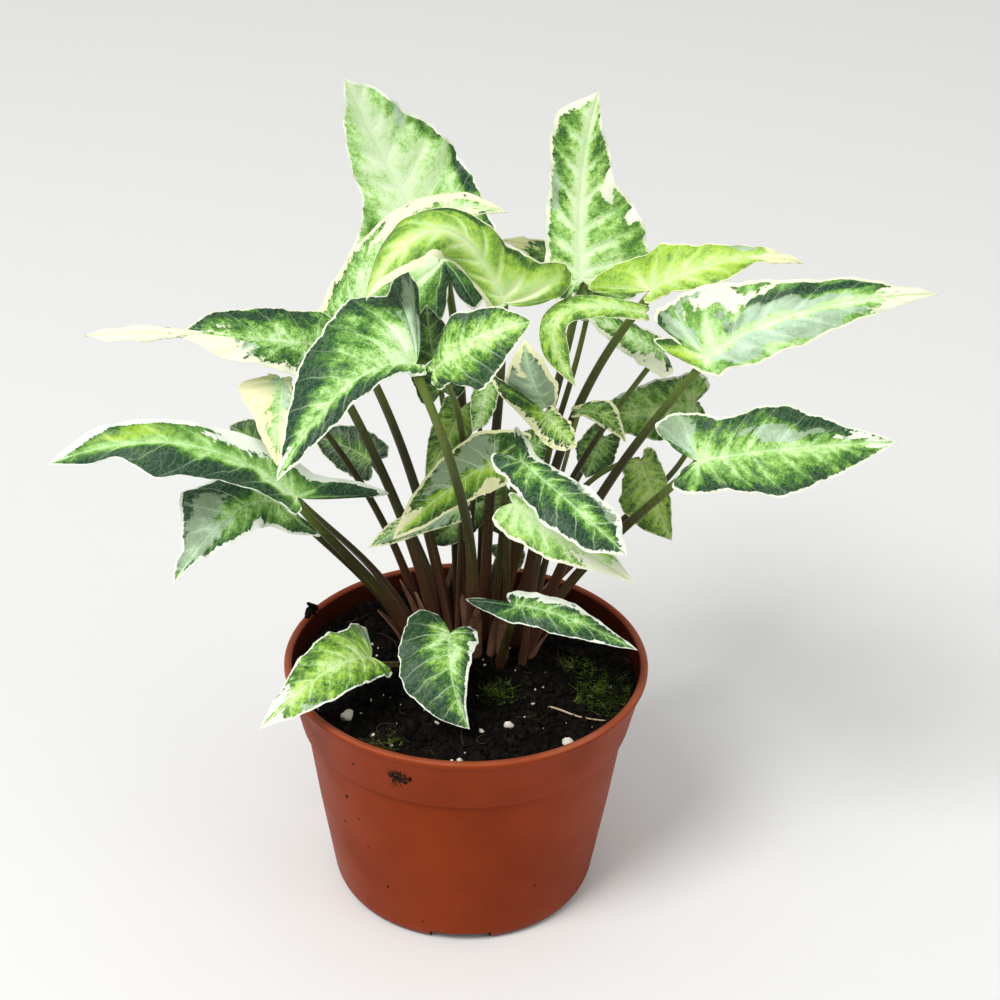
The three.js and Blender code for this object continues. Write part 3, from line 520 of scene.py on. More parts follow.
class PotSettings(bpy.types.PropertyGroup):
    plastic: colour_property("Plastic", "The pot's plastic", 136, 49, 8)
    # Inside is painted shade: the inner wall is darkened towards it.
    inside: colour_property("Inside", "The inner wall, darkened as painted shade", 46, 17, 9)
    dirt: colour_property("Dirt", "Soil stuck to the pot", 38, 24, 18)


class StageSettings(bpy.types.PropertyGroup):
    floor: colour_property("Floor", "The floor's colour", 236, 236, 234)
    key: amount_property("Key", "Power of the main lamp, in watts", 50)
    fill: amount_property("Fill", "Power of the fill lamp, in watts", 6)
    sky: amount_property("Sky", "Strength of the light from all round", 0.58)


# ---------------------------------------------------------------------------------------------------
# Shader trees.


class Tree:
    """Adds nodes to a node tree. An input is given as a value, or as another node's output."""

    def __init__(self, tree):
        self.tree = tree

    def add(self, kind, inputs=None, **settings):
        node = self.tree.nodes.new(kind)
        for name, value in settings.items():
            setattr(node, name, value)
        for key, value in (inputs or {}).items():
            if isinstance(value, bpy.types.NodeSocket):
                self.tree.links.new(value, node.inputs[key])
            else:
                node.inputs[key].default_value = value
        return node

    def math(self, operation, *values):
        return self.add("ShaderNodeMath", dict(enumerate(values)), operation=operation).outputs[0]

    def total(self, *values):
        result = values[0]
        for value in values[1:]:
            result = self.math("ADD", result, value)
        return result

    def less(self, first, second):
        return self.math("SUBTRACT", first, second)

    def times(self, first, second):
        return self.math("MULTIPLY", first, second)

    def times_plus(self, first, second, more):
        return self.math("MULTIPLY_ADD", first, second, more)

    def larger(self, first, second):
        return self.math("MAXIMUM", first, second)

    def ramp(self, value, low, high, start=0.0, end=1.0):
        """A smooth step from start, where value is low, to end, where it is high."""
        inputs = {"Value": value, "From Min": low, "From Max": high, "To Min": start, "To Max": end}
        return self.add("ShaderNodeMapRange", inputs, interpolation_type="SMOOTHSTEP").outputs[0]

    def shades(self, value, stops):
        """A colour from a value by way of (place, colour) stops."""
        ramp = self.add("ShaderNodeValToRGB", {0: value})
        points = ramp.color_ramp.elements
        while len(points) < len(stops):
            points.new(0.5)
        for point, (place, tint) in zip(points, stops):
            point.position = place
            point.color = tint
        return ramp.outputs["Color"]

    def mix(self, amount, first, second):
        return self.add("ShaderNodeMix", {0: amount, 6: first, 7: second}, data_type="RGBA").outputs[2]

    def noise(self, vector, scale, detail=3.0, roughness=0.55, distortion=0.0):
        inputs = {
            "Vector": vector, "Scale": scale, "Detail": detail, "Roughness": roughness,
            "Distortion": distortion,
        }
        return self.add("ShaderNodeTexNoise", inputs).outputs["Fac"]

    def split(self, vector):
        return self.add("ShaderNodeSeparateXYZ", {0: vector}).outputs

    def join(self, x, y, z):
        return self.add("ShaderNodeCombineXYZ", {0: x, 1: y, 2: z}).outputs[0]

    def attribute(self, name):
        return self.split(self.add("ShaderNodeAttribute", attribute_name=name).outputs["Vector"])

    def place(self):
        return self.add("ShaderNodeTexCoord").outputs["Object"]

    def group(self, tree, **inputs):
        return self.add("ShaderNodeGroup", inputs, node_tree=tree).outputs


def node_group(name, inputs, outputs, build):
    """A shader node group, built once. Place is a vector, and its other inputs and outputs are values.

    build gets the tree and its inputs, and returns its outputs.
    """
    if name in bpy.data.node_groups:
        return bpy.data.node_groups[name]
    group = bpy.data.node_groups.new(name, "ShaderNodeTree")
    for way, sockets in (("INPUT", inputs), ("OUTPUT", outputs)):
        for socket in sockets:
            kind = "NodeSocketVector" if socket == "Place" else "NodeSocketFloat"
            group.interface.new_socket(name=socket, in_out=way, socket_type=kind)
    tree = Tree(group)
    results = build(tree, tree.add("NodeGroupInput").outputs)
    tree.add("NodeGroupOutput", dict(zip(outputs, results)))
    return group


def patchy_edge():
    """A mask whose edge is broken up: how much of a tone there is, against a noise."""

    def build(tree, given):
        lean = tree.times(tree.less(given["Noise"], 0.5), given["Breakup"])
        low = tree.less(0.5, given["Softness"])
        high = tree.total(0.5, given["Softness"])
        return [tree.ramp(tree.total(given["Field"], lean), low, high)]

    return node_group("Patchy Edge", ("Field", "Noise", "Breakup", "Softness"), ("Mask",), build)


def leaf_grain():
    """The noises that a blade's markings are broken up by: cells, specks, and streaks along the veins."""

    def build(tree, given):
        place = given["Place"]
        fine = tree.noise(place, 700.0, detail=4.0, roughness=0.65)
        speck = tree.noise(place, 1900.0, detail=2.0, roughness=0.7)
        blotch = tree.noise(place, 150.0, detail=2.0, roughness=0.5)
        along = tree.times(given["Vein"], 3.1)
        across = tree.times(given["Out"], 2.4)
        sideways = tree.times(tree.split(place)[0], 40.0)
        lines = tree.join(along, across, sideways)
        streak = tree.noise(lines, 1.0, detail=5.0, roughness=0.62, distortion=0.25)
        bent = tree.mix(0.006, place, tree.noise(place, 260.0, detail=2.0))
        cells = tree.add(
            "ShaderNodeTexVoronoi", {"Vector": bent, "Scale": 520.0}, feature="DISTANCE_TO_EDGE"
        )
        net = tree.ramp(cells.outputs["Distance"], 0.0, 0.13, 1.0, 0.0)
        return [fine, speck, streak, blotch, net]

    noises = ("Fine", "Speck", "Streak", "Blotch", "Net")
    return node_group("Leaf Grain", ("Place", "Vein", "Out"), noises, build)


# How far a vein's pale halo reaches to each side, in millimetres.
SIDE_HALO = 2.4
MIDRIB_HALO = 5.0


def leaf_veins():
    """Masks of a blade's veins and of the pale halo that lies along them. Sizes are in millimetres."""

    def build(tree, given):
        wander = tree.times_plus(tree.less(given["Wander"], 0.5), 0.5, given["Vein"])
        turn = tree.math("FRACT", tree.total(wander, 0.5))
        off = tree.times(tree.math("ABSOLUTE", tree.less(turn, 0.5)), given["Pitch"])
        fade = tree.ramp(given["Out"], 0.25, 1.0, 1.0, 0.25)
        side = tree.times(tree.ramp(off, 0.0, given["Width"], 1.0, 0.0), fade)
        middle = tree.ramp(given["Rib"], 0.0, tree.times(given["Width"], 2.0), 1.0, 0.0)
        halo_side = tree.times(tree.ramp(off, 0.2, SIDE_HALO, 1.0, 0.0), fade)
        halo_middle = tree.ramp(given["Rib"], 0.0, MIDRIB_HALO, 1.0, 0.0)
        return [tree.larger(side, middle), tree.larger(halo_side, halo_middle)]

    inputs = ("Vein", "Out", "Pitch", "Rib", "Width", "Wander")
    return node_group("Leaf Veins", inputs, ("Vein", "Halo"), build)


def dust():
    """A mask of loose dirt: specks, gathered where Gather is high."""

    def build(tree, given):
        spots = tree.noise(given["Place"], 900.0, detail=3.0, roughness=0.6)
        cloud = tree.noise(given["Place"], 130.0, detail=4.0, roughness=0.6)
        field = tree.total(tree.times(spots, 0.75), tree.times(cloud, 0.35))
        return [tree.ramp(tree.total(field, tree.times(given["Gather"], 0.5)), 0.72, 0.8)]

    return node_group("Dust", ("Place", "Gather"), ("Mask",), build)


# The middle of the pot's wall: its radius at the foot and how that grows with height, and what the
# collar adds to both, in millimetres. The collar starts between two heights.
WALL_CONE = (42.75, 0.159)
COLLAR_CONE = (-2.41, 0.056)
COLLAR_START = (63.3, 64)


def wall_middle():
    """The radius of the middle of the pot's wall at a height: a cone, and a wider one at the collar."""

    def build(tree, given):
        cone = tree.times_plus(given["Height"], WALL_CONE[1], WALL_CONE[0] * MM)
        wider = tree.times_plus(given["Height"], COLLAR_CONE[1], COLLAR_CONE[0] * MM)
        collar = tree.ramp(given["Height"], COLLAR_START[0] * MM, COLLAR_START[1] * MM)
        return [tree.times_plus(wider, collar, cone)]

    return node_group("Wall Middle", ("Height",), ("Radius",), build)


def new_material(name, **constants):
    """A material with one Principled shader, its constants set on the shader's own sockets."""
    material = bpy.data.materials.new(name)
    material.use_nodes = True
    shader = material.node_tree.nodes["Principled BSDF"]
    for key, value in constants.items():
        shader.inputs[key.replace("_", " ")].default_value = value
    return material, Tree(material.node_tree), shader


def finish_material(tree, shader, base, roughness, height, strength, distance):
    """Feeds the shader its colour, its roughness and a bump. distance is in millimetres."""
    bump = {"Height": height, "Strength": strength, "Distance": distance * MM}
    normal = tree.add("ShaderNodeBump", bump).outputs[0]
    for socket, value in (("Base Color", base), ("Roughness", roughness), ("Normal", normal)):
        tree.tree.links.new(value, shader.inputs[socket])


def dimmed(tint, share):
    """A colour darkened to a share of itself."""
    return [channel * share for channel in tint[:3]] + [1.0]


def shaded(tint, share):
    """A leaf's colour darkened to a share of itself, its blue a little more: painted shade on the shaded
    leaves, and a darker grey in the silver sectors.
    """
    return [tint[0] * share, tint[1] * share, tint[2] * share * (0.55 + 0.45 * share), 1.0]


# Where a blade's tones lie, from its darkest specks to its palest parts, and their yellow-green kin.
GREENS = ((0.04, "dark"), (0.22, "deep"), (0.4, "green"), (0.58, "light"), (0.76, "mint"), (0.98, "pale"))
YELLOWS = ((0.04, (54, 92, 16)), (0.25, (104, 152, 28)), (0.75, (200, 228, 112)), (0.98, (228, 242, 168)))
LIME_PLACE = 0.5
UNDERSIDE = colour(146, 178, 92)


class LeafSkin:
    """A blade's skin: its tones, the noises that break them up, and its veins."""

    def __init__(self, tree, settings, shade):
        self.tree, self.settings, self.shade = tree, settings, shade
        vein_place, self.out, self.under = tree.attribute("blade_place")
        rib, self.margin, pitch = tree.attribute("blade_gauge")
        self.mint, self.dark, self.lime = tree.attribute("blade_greens")
        self.grey, self.cream, self.rim = tree.attribute("blade_whites")
        self.warm, self.even, self.bone = tree.attribute("blade_extra")
        self.fine, self.speck, self.streak, self.blotch, self.net = tree.group(
            leaf_grain(), Place=tree.place(), Vein=vein_place, Out=self.out
        )
        width = settings.vein_width / MM
        self.vein, self.halo = tree.group(
            leaf_veins(), Vein=vein_place, Out=self.out, Pitch=pitch, Rib=rib, Width=width, Wander=self.blotch
        )
        self.tangle = tree.times_plus(self.streak, 0.5, tree.times(self.fine, 0.5))
        self.torn = tree.times_plus(self.streak, 0.65, tree.times(self.fine, 0.35))
        self.lively = tree.ramp(self.even, 0.0, 1.0, 1.0, 0.35)

    def mask(self, field, source, breakup, softness):
        inputs = {"Field": field, "Noise": source, "Breakup": breakup, "Softness": softness}
        return self.tree.group(patchy_edge(), **inputs)["Mask"]

    def swing(self, source, amount):
        """What a noise adds to the tone: less of it on an even leaf."""
        away = self.tree.times(self.tree.less(source, 0.5), amount)
        return self.tree.times(away, self.lively)

    def tone(self):
        """How pale the green is: paler by the veins and where there is mint, darker at the margin."""
        tree = self.tree
        tone = tree.total(
            0.25,
            tree.times(self.mint, 0.55),
            tree.times(self.dark, -0.5),
            tree.times(self.halo, tree.times_plus(self.bone, 0.34, 0.08)),
            tree.ramp(self.out, 0.0, 0.75, 0.16, 0.0),
            tree.times(tree.math("POWER", self.out, 3.0), -0.14),
            self.swing(self.streak, 1.0), self.swing(self.fine, 0.85),
            self.swing(self.speck, 0.7), self.swing(self.blotch, 1.0),
        )
        # Painted shade: a shaded leaf's tones are drawn towards the dark end.
        return tree.times(tone, 0.45 + 0.55 * self.shade)

    def greens(self):
        """The green part of the blade, with its yellow-green and silvery sectors and its veins."""
        tree, settings, shade = self.tree, self.settings, self.shade
        tone = self.tone()
        # Painted shade: on a shaded leaf every green and yellow is darkened, its blue more.
        green = [(spot, shaded(getattr(settings, name), shade)) for spot, name in GREENS]
        yellow = [(spot, shaded(colour(*tint), shade)) for spot, tint in YELLOWS]
        yellow = sorted([*yellow, (LIME_PLACE, shaded(settings.lime, shade))])
        fresh = tree.shades(tone, yellow)
        skin = tree.mix(self.mask(self.lime, self.tangle, 1.3, 0.22), tree.shades(tone, green), fresh)
        silver = tree.mix(tree.ramp(tone, 0.2, 0.8), shaded(settings.grey, 0.62), settings.grey)
        skin = tree.mix(tree.times(self.mask(self.grey, self.torn, 1.6, 0.09), 0.85), skin, silver)
        # Painted shade: the veins are fainter on a shaded leaf.
        skin = tree.mix(tree.times(self.vein, 0.3 + 0.12 * shade), skin, shaded(settings.pale, shade))
        return tree.mix(tree.times(self.net, 0.09), skin, settings.mint)

    def whites(self, skin):
        """The white margin and the cream sectors, laid over the green."""
        tree, settings = self.tree, self.settings
        rough_rim = tree.times(self.rim, tree.ramp(self.tangle, 0.3, 0.68, 0.0, 1.9))
        uneven = tree.less(1.0, self.even)
        jagged = tree.total(tree.times(rough_rim, uneven), tree.times(self.rim, self.even))
        white = tree.ramp(tree.less(jagged, self.margin), -0.14, 0.14)
        white = tree.larger(white, self.mask(self.cream, self.torn, 1.9, 0.06))
        pale = tree.mix(self.warm, settings.white, settings.cream)
        pale = tree.mix(tree.ramp(self.tangle, 0.48, 0.75, 0.0, 0.5), pale, settings.mint)
        # Painted shade: a shaded leaf's white margin is dulled towards a dark green.
        pale = tree.mix(1 - self.shade, pale, shaded(settings.deep, 0.6))
        return tree.mix(white, skin, pale)

    def relief(self):
        tree = self.tree
        return tree.total(
            tree.times(self.vein, -0.6), tree.times(self.net, -0.25),
            tree.times(self.fine, 0.5), tree.times(self.speck, 0.2),
        )


def leaf_material(name, settings, shade):
    """Satin leaf skin: mottled greens, silvery sectors, pale veins and a white margin. A shade below 1 paints
    shade in, darkening and yellowing all its colours.
    """
    material, tree, shader = new_material(name, Specular_IOR_Level=0.28)
    leaf_skin = LeafSkin(tree, settings, shade)
    skin = leaf_skin.whites(leaf_skin.greens())
    # Painted shade: a shaded leaf's underside is darkened too.
    back = tree.mix(0.45, skin, shaded(UNDERSIDE, shade))
    skin = tree.mix(leaf_skin.under, skin, back)
    roughness = tree.ramp(leaf_skin.fine, 0.2, 0.8, 0.36, 0.54)
    finish_material(tree, shader, skin, roughness, leaf_skin.relief(), strength=0.4, distance=0.3)
    return material


def stalk_material(settings):
    """Smooth stalk skin: brown at the foot, green under the blade, darker half way up, partly its own
    olive-brown and partly painted shade, with papery wings at the foot.
    """
    material, tree, shader = new_material("Stalk skin", Specular_IOR_Level=0.22)
    along, wing, rounding = tree.attribute("stalk_place")
    place = tree.place()
    grain = tree.noise(place, 500.0, detail=4.0, roughness=0.6)
    streak = tree.noise(tree.join(tree.times(rounding, 9.0), tree.times(along, 5.0), 0.0), 1.0)
    lean = tree.times_plus(tree.less(grain, 0.5), 0.25, along)
    # Half way up the stalk is darker: partly its own olive-brown, partly painted shade.
    skin = tree.mix(tree.ramp(lean, 0.12, 0.5), settings.foot, settings.middle)
    skin = tree.mix(tree.ramp(lean, 0.6, 1.0), skin, settings.head)
    skin = tree.mix(tree.ramp(streak, 0.5, 0.75, 0.0, 0.3), skin, settings.head)
    skin = tree.mix(tree.times(tree.ramp(wing, 0.25, 0.9), 0.8), skin, settings.sheath)
    splashed = tree.ramp(along, 0.02, 0.16, 0.45, -0.4)
    dirt = tree.group(dust(), Place=place, Gather=splashed)["Mask"]
    skin = tree.mix(tree.times(dirt, 0.8), skin, colour(30, 22, 16))
    roughness = tree.ramp(grain, 0.3, 0.7, 0.36, 0.52)
    height = tree.total(tree.times(streak, 0.7), tree.times(grain, 0.4))
    finish_material(tree, shader, skin, roughness, height, strength=0.3, distance=0.3)
    return material


def speckled_material(name, first, second, scale, rough, bump):
    """Two colours in uneven grains, for what lies loose in the pot. bump is in millimetres."""
    material, tree, shader = new_material(name, Specular_IOR_Level=0.1)
    place = tree.place()
    grain = tree.noise(place, scale, detail=5.0, roughness=0.65)
    cloud = tree.noise(place, scale * 0.2)
    share = tree.ramp(tree.times_plus(cloud, 0.6, tree.times(grain, 0.6)), 0.56, 0.8)
    skin = tree.mix(share, first, second)
    roughness = tree.ramp(grain, 0.3, 0.7, rough - 0.1, rough + 0.08)
    finish_material(tree, shader, skin, roughness, grain, strength=0.8, distance=bump)
    return material


# The smudge of soil on the collar, and the specks on the wall: angle round the pot from the front in
# degrees, height and radius in millimetres.
SMUDGE_ANGLE = -20.5
SMUDGE_HEIGHT = 75
SMUDGES = (
    (SMUDGE_ANGLE, SMUDGE_HEIGHT, 6), (-46, 53, 2.2), (-41, 46, 1.4), (-38, 35, 1.5), (-29, 62, 1.2),
    (-37, 73, 1.6), (-50, 40, 1.8), (-44, 27, 1.3), (-31, 20, 1.1), (-16, 8, 1.2), (12, 56, 1.1),
    (31, 22, 1.2),
)
# The outside of the wall: radii at heights, at the foot, above it, under and on the collar, and the rim.
WALL_HEIGHTS = (0, 5, 63.4, 64.5, RIM_TOP)
WALL_RADII = (41.4, 44.4, 53.8, 55, 59)


def on_wall(angle, height):
    """A point on the outside of the pot, in millimetres."""
    radius = np.interp(height, WALL_HEIGHTS, WALL_RADII)
    turn = math.radians(angle)
    return Vector((math.sin(turn) * radius, -math.cos(turn) * radius, height))


def stuck_soil(tree, place):
    """How near a spot is to the smudge on the collar or to one of the specks."""
    nearness = 0.0
    for angle, height, size in SMUDGES:
        ends = {0: place, 1: on_wall(angle, height) * MM}
        away = tree.add("ShaderNodeVectorMath", ends, operation="DISTANCE").outputs["Value"]
        near = tree.ramp(away, size * 0.1 * MM, size * 1.2 * MM, 0.85, 0.0)
        nearness = tree.larger(nearness, near)
    return nearness


def pot_material(settings):
    """Satin moulded plastic with soil dust, a smudge on the collar, a painted highlight along the rim and
    painted shade on the inner wall.
    """
    material, tree, shader = new_material("Pot plastic", Specular_IOR_Level=0.09)
    place = tree.place()
    x, y, z = tree.split(place)
    radius = tree.math("SQRT", tree.total(tree.math("POWER", x, 2.0), tree.math("POWER", y, 2.0)))
    cloud = tree.noise(place, 28.0)
    grain = tree.noise(place, 420.0, detail=5.0, roughness=0.7)
    pits = tree.noise(place, 2400.0, detail=2.0)

    def by_height(low, high, start, end):
        """A smooth step between two depths below the top of the rim, in millimetres."""
        return tree.ramp(z, (RIM_TOP - low) * MM, (RIM_TOP - high) * MM, start, end)

    skin = tree.mix(tree.ramp(cloud, 0.35, 0.7), settings.plastic, dimmed(settings.plastic, 0.8))
    skin = tree.mix(tree.ramp(grain, 0.62, 0.8, 0.0, 0.3), skin, colour(176, 92, 50))
    # Painted highlight: the top of the rim is lightened all round, more in some places.
    rim_highlight = tree.times(by_height(1.1, 0.1, 0.0, 1.0), tree.ramp(cloud, 0.3, 0.6, 0.12, 0.4))
    skin = tree.mix(rim_highlight, skin, colour(206, 124, 92))
    gather = tree.total(stuck_soil(tree, place), by_height(24.5, 0.5, 0.0, 0.1), -0.32)
    dirt = tree.group(dust(), Place=place, Gather=gather)["Mask"]
    # Painted shade: the inner wall is darkened towards the inside colour, less at the top of the rim.
    past_middle = tree.less(radius, tree.group(wall_middle(), Height=z)["Radius"])
    inner = tree.ramp(past_middle, -0.3 * MM, 0.3 * MM, 1.0, 0.0)
    inner = tree.times(inner, by_height(1.1, 0.2, 1.0, 0.25))
    skin = tree.mix(tree.times(inner, 0.9), skin, settings.inside)
    splash = tree.group(dust(), Place=place, Gather=by_height(6.5, 0.5, 0.3, -0.1))["Mask"]
    dirt = tree.larger(dirt, tree.times(splash, inner))
    skin = tree.mix(dirt, skin, settings.dirt)
    roughness = tree.total(tree.ramp(cloud, 0.3, 0.7, 0.42, 0.54), tree.times(dirt, 0.4))
    height = tree.total(tree.times(grain, 0.3), tree.times(pits, 0.25), tree.times(dirt, 1.2))
    finish_material(tree, shader, skin, roughness, height, strength=0.25, distance=0.3)
    return material


# ---------------------------------------------------------------------------------------------------
# Meshes.


def add_object(name, data):
    thing = bpy.data.objects.new(name, data)
    bpy.context.scene.collection.objects.link(thing)
    return thing


def make_piece(name, points, faces, material, replaced=None, attributes=None, sharp=None):
    """A mesh piece of the plant from points in millimetres.

    sharp gives each point the number of the hard line it is on, or 0. An edge along such a line is hard.
    """
    mesh = bpy.data.meshes.new(name)
    mesh.from_pydata((np.asarray(points) * MM).tolist(), [], faces)
    mesh.validate()
    mesh.materials.append(material)
    mesh.shade_smooth()
    for key, values in (attributes or {}).items():
        layer = mesh.attributes.new(key, "FLOAT_VECTOR", "POINT")
        layer.data.foreach_set("vector", np.asarray(values, np.float32).ravel())
    if sharp is not None:
        ends = np.empty(len(mesh.edges) * 2, np.int32)
        mesh.edges.foreach_get("vertices", ends)
        line = np.asarray(sharp)[ends.reshape(-1, 2)]
        hard = (line[:, 0] == line[:, 1]) & (line[:, 0] > 0)
        mesh.attributes.new("sharp_edge", "BOOLEAN", "EDGE").data.foreach_set("value", hard)
    piece = add_object(name, mesh)
    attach(piece, BODY)
    if replaced:
        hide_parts(replaced)
    return piece


def quads(grid):
    """The four-sided faces between the neighbours in a grid of point numbers."""
    corners = (grid[:-1, :-1], grid[:-1, 1:], grid[1:, 1:], grid[1:, :-1])
    return np.stack([corner.ravel() for corner in corners], axis=1).tolist()


def closed(grid):
    """A grid of point numbers whose first column follows its last one again."""
    return np.concatenate([grid, grid[:, :1]], axis=1)


def fan(centre, ring):
    """Triangles from one point to each step of a closed ring of point numbers."""
    return [[centre, int(a), int(b)] for a, b in zip(ring, np.roll(ring, -1))]


def band(near, far):
    """The faces that join two closed rings of point numbers."""
    steps = (np.roll(near, -1), near, far, np.roll(far, -1))
    return np.stack(steps, axis=1).tolist()


def joined(parts):
    """The points and faces of many parts as one."""
    points, faces, total = [], [], 0
    for made, sides in parts:
        points.append(made)
        faces += [[k + total for k in side] for side in sides]
        total += len(made)
    return np.concatenate(points), faces


def smooth_through(rows, at):
    """A Catmull-Rom curve through evenly spaced rows, at places from 0 to 1."""
    last = len(rows) - 1
    place = np.clip(at, 0, 1) * last
    first = np.minimum(place.astype(int), last - 1)
    t = (place - first)[:, None]
    p0, p1, p2, p3 = (rows[np.clip(first + k, 0, last)] for k in (-1, 0, 1, 2))
    bend = (2 * p0 - 5 * p1 + 4 * p2 - p3) * t**2 + (3 * p1 - p0 - 3 * p2 + p3) * t**3
    return 0.5 * (2 * p1 + (p2 - p0) * t + bend)


def unit(vectors):
    return vectors / np.maximum(np.linalg.norm(vectors, axis=-1, keepdims=True), 1e-9)


def hump(distance, width):
    """1 where distance is nothing, falling away to 0 over a few widths."""
    return np.exp(-((distance / width) ** 2))


def ripple(around, waves, rng):
    """Waves round an outline, given by their beats and heights, each with its own random start."""
    return sum(np.sin(2 * np.pi * (beats * around + rng.random())) * size for beats, size in waves)


class Midrib:
    """The curve of a blade's midrib, with the blade's own directions along it."""

    STEPS = 24

    def __init__(self, leaf):
        self.start, middle, self.end = (np.array(leaf[k], float) for k in ("joint", "mid", "tip"))
        self.bend = 2 * middle - 0.5 * (self.start + self.end)
        self.face = np.array(leaf["face"], float)
        self.turn = np.array(leaf["turn"], float)
        self.shares = np.linspace(0, 1, self.STEPS + 1)
        steps = np.linalg.norm(np.diff(self.point(self.shares), axis=0), axis=1)
        self.arc = np.concatenate([[0], np.cumsum(steps)])
        self.length = self.arc[-1]

    def point(self, share):
        t = np.asarray(share)[..., None]
        return (1 - t) ** 2 * self.start + 2 * t * (1 - t) * self.bend + t**2 * self.end

    def at(self, along):
        """The point, and the forward, up and right directions, at lengths along the midrib."""
        t = np.interp(along, self.arc, self.shares)[..., None]
        forward = unit(2 * (1 - t) * (self.bend - self.start) + 2 * t * (self.end - self.bend))
        share = np.asarray(along)[..., None] / self.length
        up = self.face * (1 - share) + self.turn * share
        up = unit(up - np.sum(up * forward, axis=-1, keepdims=True) * forward)
        return self.point(t[..., 0]), forward, up, np.cross(forward, up)


# Beats and heights of the outline's unevenness, as shares of its reach, and of the margin's waves.
OUTLINE_WAVES = ((5, 0.022), (11, 0.018), (23, 0.01), (41, 0.006))
MARGIN_WAVES = ((3, 0.45), (6, 0.5), (10, 0.35), (17, 0.15))
# How far a half is cupped between its rib and its margin, as a share of its reach.
CUP = 0.05


def outline_reach(leaf, hand, reach, around, rng):
    """How far the outline of a half stands out: its smooth reach with waves, swellings and bays."""
    uneven = ripple(around, OUTLINE_WAVES, rng)
    reach = reach * (1 + uneven[:, None] * np.sin(np.pi * around)[:, None])
    for half, middle, wide, swell in leaf["edge"]:
        if half == "LR"[hand]:
            reach = reach + swell * hump(around[:, None] - middle, wide)
    return np.maximum(reach, 0)


def half_blade(leaf, rib, hand, around, out, rng, ruffle):
    """Points of one half of a blade, and its upward directions there."""
    side = (-1, 1)[hand]
    widths = np.array(leaf[("left", "right")[hand]], float)
    lobe = leaf["lobe"][hand]
    along = np.where(STATIONS[:, 3] < 0, STATIONS[:, 3] * lobe, STATIONS[:, 3] * rib.length)
    stations = np.column_stack([STATIONS[:, :3] @ widths, along, STATIONS[:, 4] * rib.length])
    reach, end, start = smooth_through(stations, around).T[:, :, None]
    start = np.clip(start, 0, rib.length)
    reach = outline_reach(leaf, hand, reach, around, rng)
    along = start + (end - start) * out**VEIN_BEND
    point, forward, up, across = rib.at(np.clip(along, 0, rib.length))
    back = np.minimum(along, 0)[..., None]
    swing = math.radians(leaf["sway"][hand])
    point = point + forward * back * math.cos(swing) - across * back * math.sin(swing) * side
    lean = math.radians(leaf["fold"][hand])
    bend = math.radians(leaf["curl"][hand]) / max(widths)
    x = out * reach
    if bend:
        level = (np.sin(lean + bend * x) - math.sin(lean)) / bend
        rise = (math.cos(lean) - np.cos(lean + bend * x)) / bend
    else:
        level, rise = x * math.cos(lean), x * math.sin(lean)
    waves = ripple(around, MARGIN_WAVES, rng)
    fade = np.minimum(around * 8, 1) * np.minimum((1 - around) * 6, 1)
    cup = CUP * reach * np.sin(np.pi * out)
    rise = rise + (waves * fade)[:, None] * leaf["wavy"] * ruffle * out**2.2 + cup
    point = point + across * (side * level)[..., None] + up * rise[..., None]
    return point, unit(up)


# What the patches can be painted with. A leaf has no grey or cream of its own outside its patches.
TONES = ("mint", "dark", "lime", "grey", "cream")


def paint_of(leaf, hand, around, out, rng):
    """How much of each tone there is over one half of a blade."""
    first, second, third = rng.uniform(0, 2 * np.pi, 3)
    shifted = around + 0.022 * np.sin(out * 9 + first) + 0.01 * np.sin(out * 21 + second)
    pushed = out + 0.09 * np.sin(around * 34 + second) + 0.05 * np.sin(around * 71 + third)
    fields = {tone: np.full(out.shape, float(leaf.get(tone, 0))) for tone in TONES}
    fields["dark"] = fields["dark"] * (0.5 + 0.8 * out**1.5)
    for tone, half, middle, outwards, wide, deep in leaf["paint"]:
        if half == "LR"[hand]:
            near = hump(shifted - middle, wide) * hump(pushed - outwards, deep)
            fields[tone] = np.maximum(fields[tone], near * 0.95)
            if tone == "dark":
                fields["mint"] = fields["mint"] * (1 - 0.75 * near)
    return fields


# A blade's rows for each millimetre of its length and columns for each of its width, with their limits.
ROWS = (1.7, 56, 110)
COLUMNS = (1.2, 10, 22)


def blade_grid(leaf, seed, ruffle):
    """The shares of the way round a blade, and its fields over a grid from left to right margin."""
    rng = np.random.default_rng(seed)
    rib = Midrib(leaf)
    rows = int(np.clip(rib.length * ROWS[0], *ROWS[1:]))
    columns = int(np.clip(max(*leaf["left"], *leaf["right"]) * COLUMNS[0], *COLUMNS[1:]))
    around = np.linspace(0, 1, rows)
    out = np.tile(np.linspace(0, 1, columns), (rows, 1))
    vein = np.interp(around, VEIN_ENDS, np.arange(len(VEIN_ENDS)))[:, None] * np.ones_like(out)
    lobes = np.interp(around, (LOBE_SHARE, LOBE_SHARE + 0.12), (1, 0))[:, None] * np.ones_like(out)
    along = np.interp(around, (LOBE_SHARE, 1), (0, 1))[:, None] * np.ones_like(out)
    halves = []
    for hand in (0, 1):
        point, up = half_blade(leaf, rib, hand, around, out, rng, ruffle)
        chord = np.linalg.norm(point[:, -1] - point[:, 0], axis=1)[:, None]
        step = np.linalg.norm(np.gradient(point, axis=0), axis=-1)
        pitch = step / np.maximum(np.abs(np.gradient(vein, axis=0)), 1e-6)
        half = dict(
            point=point, up=up, vein=vein, out=out, rib=out * chord, margin=(1 - out) * chord,
            pitch=pitch, rim=leaf["rim"][hand] * np.ones_like(out), lobes=lobes, along=along,
        )
        halves.append({**half, **paint_of(leaf, hand, around[:, None], out, rng)})
    left, right = halves
    return around, {key: np.concatenate([left[key][:, :0:-1], right[key]], axis=1) for key in left}


